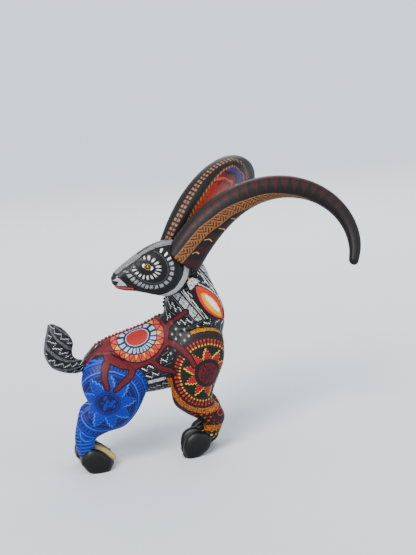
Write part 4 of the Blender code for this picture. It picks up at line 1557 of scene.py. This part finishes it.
def paint_ear():
    p = Paint("ear_paint", BLACK)
    share, across, out = p.vector("chart")
    wx, wy, _ = p.wobble(0.35, 0.10)
    grain = p.noise(1.2, 1.0)
    pale = p.mix(grain.below(0.44, 0.1), PALE, DIM)
    a = across + wx
    b = share + wy * 0.5
    face = out.above(-0.2, 0.1)
    rim = hypot(a / 0.96, (b - 0.56) / 0.47)
    p.lay(face * b.below(0.17, 0.03), pale, 0.4)
    p.lay(face * rim.within(0.84, 0.96, 0.03) * a.below(-0.35, 0.05) * b.below(0.8, 0.05),
          pale, 0.5)
    leaf = hypot(a / 0.74, (b - 0.60) / 0.40)
    p.lay(face * leaf.below(1.08, 0.04), BLACK)
    p.lay(face * leaf.below(1.0, 0.04), p.mix(grain, tint("d8520c"), tint("c43a08")), 0.5)
    gold = hypot((a - 0.03) / 0.46, (b - 0.63) / 0.28)
    p.lay(face * gold.below(1.0, 0.05), tint("d8b000"), 0.6)
    heart = hypot((a + 0.12) / 0.22, (b - 0.60) / 0.19)
    p.lay(face * heart.below(1.0, 0.06), p.mix(grain, WHITE, tint("e4dcd8")), 0.7)
    back = face.flip()
    p.lay(back * rim.below(0.85, 0.04), p.mix(grain, tint("2a1014"), WINE), 0.3)
    p.lay(back * rim.within(0.60, 0.70, 0.03), pale, 0.5)
    p.lay(back * rim.below(0.40, 0.04), CRIMSON, 0.5)
    return p.finish()


def paint_tail():
    p = Paint("tail_paint", BLACK)
    run, _, s = p.vector("chart")
    wx, wy, _ = p.wobble(0.22, 1.6)
    run = run + wx
    grain = p.noise(1.2, 1.0)
    speck = grain.below(0.44, 0.1)
    ashen = p.mix(speck, GREY, SOOT)
    around = s * 11.0 + wy
    sway = around + run * 0.55
    row = (sway / 11.0).frac() * 11.0
    fret_row(p, run, row - 0.6, 7.0, 4.6, 3.0, p.mix(speck, DIM, BLACK), PALE, 0.5)
    p.lay(row.within(7.0, 9.4), ashen, 0.4)
    p.lay((s + 0.9).below(0.06, 0.04) * run.above(24.0), ashen, 0.4)
    return p.finish()


def chart_tail(tail):
    rings = smooth_rings(limb_rings(TAIL, False), 16)
    middles = np.array([r[0] for r in rings]) * MM
    ups = np.array([r[2].normalized() for r in rings])
    sides = np.array([r[1].normalized() for r in rings])
    halves = np.array([(r[1].length, r[2].length) for r in rings]) * MM
    runs = arc_lengths(middles)
    points = points_of(tail)
    chart = np.zeros((len(points), 3))
    for i, point in enumerate(points):
        k = int(((middles - point) ** 2).sum(1).argmin())
        off = point - middles[k]
        chart[i] = (runs[k] + off @ np.cross(ups[k], sides[k]),
                    off @ sides[k] / halves[k][0], off @ ups[k] / halves[k][1])
    store(tail, "chart", chart)


def paint_hoof():
    p = Paint("hoof_paint", tint("141614"))
    streak = p.noise(0.5, 4.0, 0.6)
    p.lay(streak.ramp(0.45, 0.75), tint("23262a"), 0.3)
    gap = p.value("cleft")
    p.lay(gap.below(0.0, 0.3), p.mix(p.noise(0.9), tint("cfc08e"), tint("a8986a")), 0.3)
    return p.finish((0.38, 0.55), 0.04)


def paint_bead(name, one, two):
    p = Paint(name, one)
    p.lay(p.noise(0.9).ramp(0.45, 0.7), two, 0.2)
    return p.finish((0.22, 0.36), 0.4, 0.4)


def paint_wood():
    """Pale carved wood, for the dowels and pegs."""
    p = Paint("wood_paint", tint("b98d5c"))
    x, y, _ = p.split(p.place())
    grain = (p.noise(0.12, 2.0) * 26.0 + (x + y * 0.6) * 0.8).sin()
    p.lay(grain.ramp(0.2, 1.0), tint("8f6538"), 0.4)
    p.lay(p.noise(2.4, 3.0).above(0.62, 0.1), tint("6f4c2a"), 0.2)
    return p.finish((0.55, 0.72), 0.0)


def chart_cleft(hoof, left, pale):
    """Below 0 on the pale face of the inner claw along the cleft."""
    points = points_of(hoof)
    normals = normals_of(hoof)
    side = 1.0 if left else -1.0
    off = (points[:, 1] - side * HOOF_OUT * MM) * side
    facing = normals[:, 1] * side
    edge = np.maximum(np.abs(off + 2.2) - 2.6, (0.30 - facing) * 4.0)
    store(hoof, "cleft", edge if pale else np.ones(len(points)))


# ---------------------------------------------------------------- assembly

def finish_piece(piece, material, body, nodes):
    piece.data.materials.clear()
    piece.data.materials.append(material)
    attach(piece, body)
    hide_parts(*nodes)


def build():
    body = make_body()
    body.name = "painted_body"
    chart_body(body)
    nodes = ["torso", "neck"]
    for kind in ("foreleg", "hindleg"):
        nodes += [kind + "_left", kind + "_right"]
    finish_piece(body, paint_body(), "root", nodes)

    head = make_head()
    chart_head(head)
    finish_piece(head, paint_head(), "root", ["head"])

    horn_paint = paint_horn()
    ear_paint = paint_ear()
    for side in HORNS:
        finish_piece(make_horn(side), horn_paint, "horn_" + side, ["horn_" + side])
        finish_piece(make_ear(side), ear_paint, "ear_" + side, ["ear_" + side])

    tail = make_tail()
    chart_tail(tail)
    finish_piece(tail, paint_tail(), "tail", ["tail"])

    hoof_paint = paint_hoof()
    for kind, stations, lead in (("foreleg", FORE_HOOF, FORELEG_LEAD),
                                 ("hindleg", HIND_HOOF, HINDLEG_LEAD)):
        for side in ("left", "right"):
            left = side == "left"
            hoof = make_hoof(kind + "_" + side + "_claws", stations, left,
                             lead[-1][1] if left else 0.0,
                             HIND_SPLAY if kind == "hindleg" else 0.0)
            chart_cleft(hoof, left, kind == "hindleg")
            finish_piece(hoof, hoof_paint, "root", [kind + "_" + side + "_hoof"])

    path = crest_path(trunk_rings(TORSO), 0, 2, -0.1195, 0.0665, 19, (-0.25, 0.0, 0.97))
    beads = make_beads("back_beads", path, 0.0014)
    finish_piece(beads, paint_bead("back_bead_paint", tint("a01230"), tint("6c0a20")),
                 "root", ["back_crest"])
    path = crest_path(neck_rings(), 2, 3, 0.1530, 0.0195, 6, (-1.0, 0.0, 0.1))
    beads = make_beads("neck_beads", path, 0.0013)
    finish_piece(beads, paint_bead("neck_bead_paint", tint("101013"), tint("2a2a30")),
                 "root", ["neck_crest"])

    wood = paint_wood()
    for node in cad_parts:
        if node.endswith("_peg") or node.endswith("_dowel"):
            item = bpy.data.objects[node]
            item.data.materials.clear()
            item.data.materials.append(wood)


# ---------------------------------------------------------------- stage, light, camera

def matt(name, colour):
    material = bpy.data.materials.new(name)
    material.use_nodes = True
    shader = material.node_tree.nodes["Principled BSDF"]
    shader.inputs["Base Color"].default_value = colour
    shader.inputs["Roughness"].default_value = 1.0
    shader.inputs["Specular IOR Level"].default_value = 0.0
    return material


# Even light from all round, and how much the key adds on a white floor
SKY_LIGHT = (1.22, 1.32, 1.42)
KEY_LIGHT = (1.16, 1.12, 1.08)


def add_lamp(name, kind, spot, way, power, colour):
    """A light at a spot, shining along a way; gives the light's own settings."""
    light = bpy.data.lights.new(name, kind)
    light.energy = power
    light.color = colour
    lamp = bpy.data.objects.new(name, light)
    lamp.location = spot
    lamp.rotation_euler = way.to_track_quat("-Z", "Y").to_euler()
    bpy.context.scene.collection.objects.link(lamp)
    return light


def build_stage():
    """A floor that is as bright as the light all round it, so that no edge shows."""
    form = bmesh.new()
    bmesh.ops.create_grid(form, x_segments=2, y_segments=2, size=60.0)
    floor = add_object("floor", form)
    tone = tuple(sky / (sky + key) for sky, key in zip(SKY_LIGHT, KEY_LIGHT))
    floor.data.materials.append(matt("floor_paint", tone + (1.0,)))

    world = bpy.data.worlds.new("studio")
    world.use_nodes = True
    back = world.node_tree.nodes["Background"]
    back.inputs["Color"].default_value = SKY_LIGHT + (1.0,)
    back.inputs["Strength"].default_value = 1.0
    bpy.context.scene.world = world

    way = Vector((0.75, 1.05, -1.25)).normalized()
    key = add_lamp("key", "SUN", (0.0, 0.0, 0.0), way, math.pi / -way.z, KEY_LIGHT)
    key.angle = math.radians(28.0)
    middle = Vector((0.0, 0.0, 0.15))
    for name, spot, size, power, colour in (
            ("fill", (1.2, -0.9, 0.8), 1.2, 8.0, (0.9, 0.95, 1.0)),
            ("rim", (0.4, 1.3, 1.1), 1.0, 14.0, (1.0, 1.0, 1.0))):
        add_lamp(name, "AREA", spot, middle - Vector(spot), power, colour).size = size


def build_camera():
    aim = Vector((0.01575, -0.0056, 0.1773))
    distance = 1.3
    tilt = math.radians(12.0)
    swing = math.radians(12.0)
    roll = math.radians(5.0)
    ahead = Vector((math.sin(swing) * math.cos(tilt), math.cos(swing) * math.cos(tilt),
                    -math.sin(tilt)))
    level = Vector((math.cos(swing), -math.sin(swing), 0.0))
    up = level.cross(ahead)
    right = math.cos(roll) * level - math.sin(roll) * up
    top = math.sin(roll) * level + math.cos(roll) * up
    lens = bpy.data.cameras.new("camera")
    lens.lens = 84.3
    lens.sensor_width = 36.0
    camera = bpy.data.objects.new("camera", lens)
    turn = Matrix((right, top, -ahead)).transposed()
    camera.matrix_world = Matrix.Translation(aim - ahead * distance) @ turn.to_4x4()
    bpy.context.scene.collection.objects.link(camera)
    bpy.context.scene.camera = camera


build()
build_stage()
build_camera()
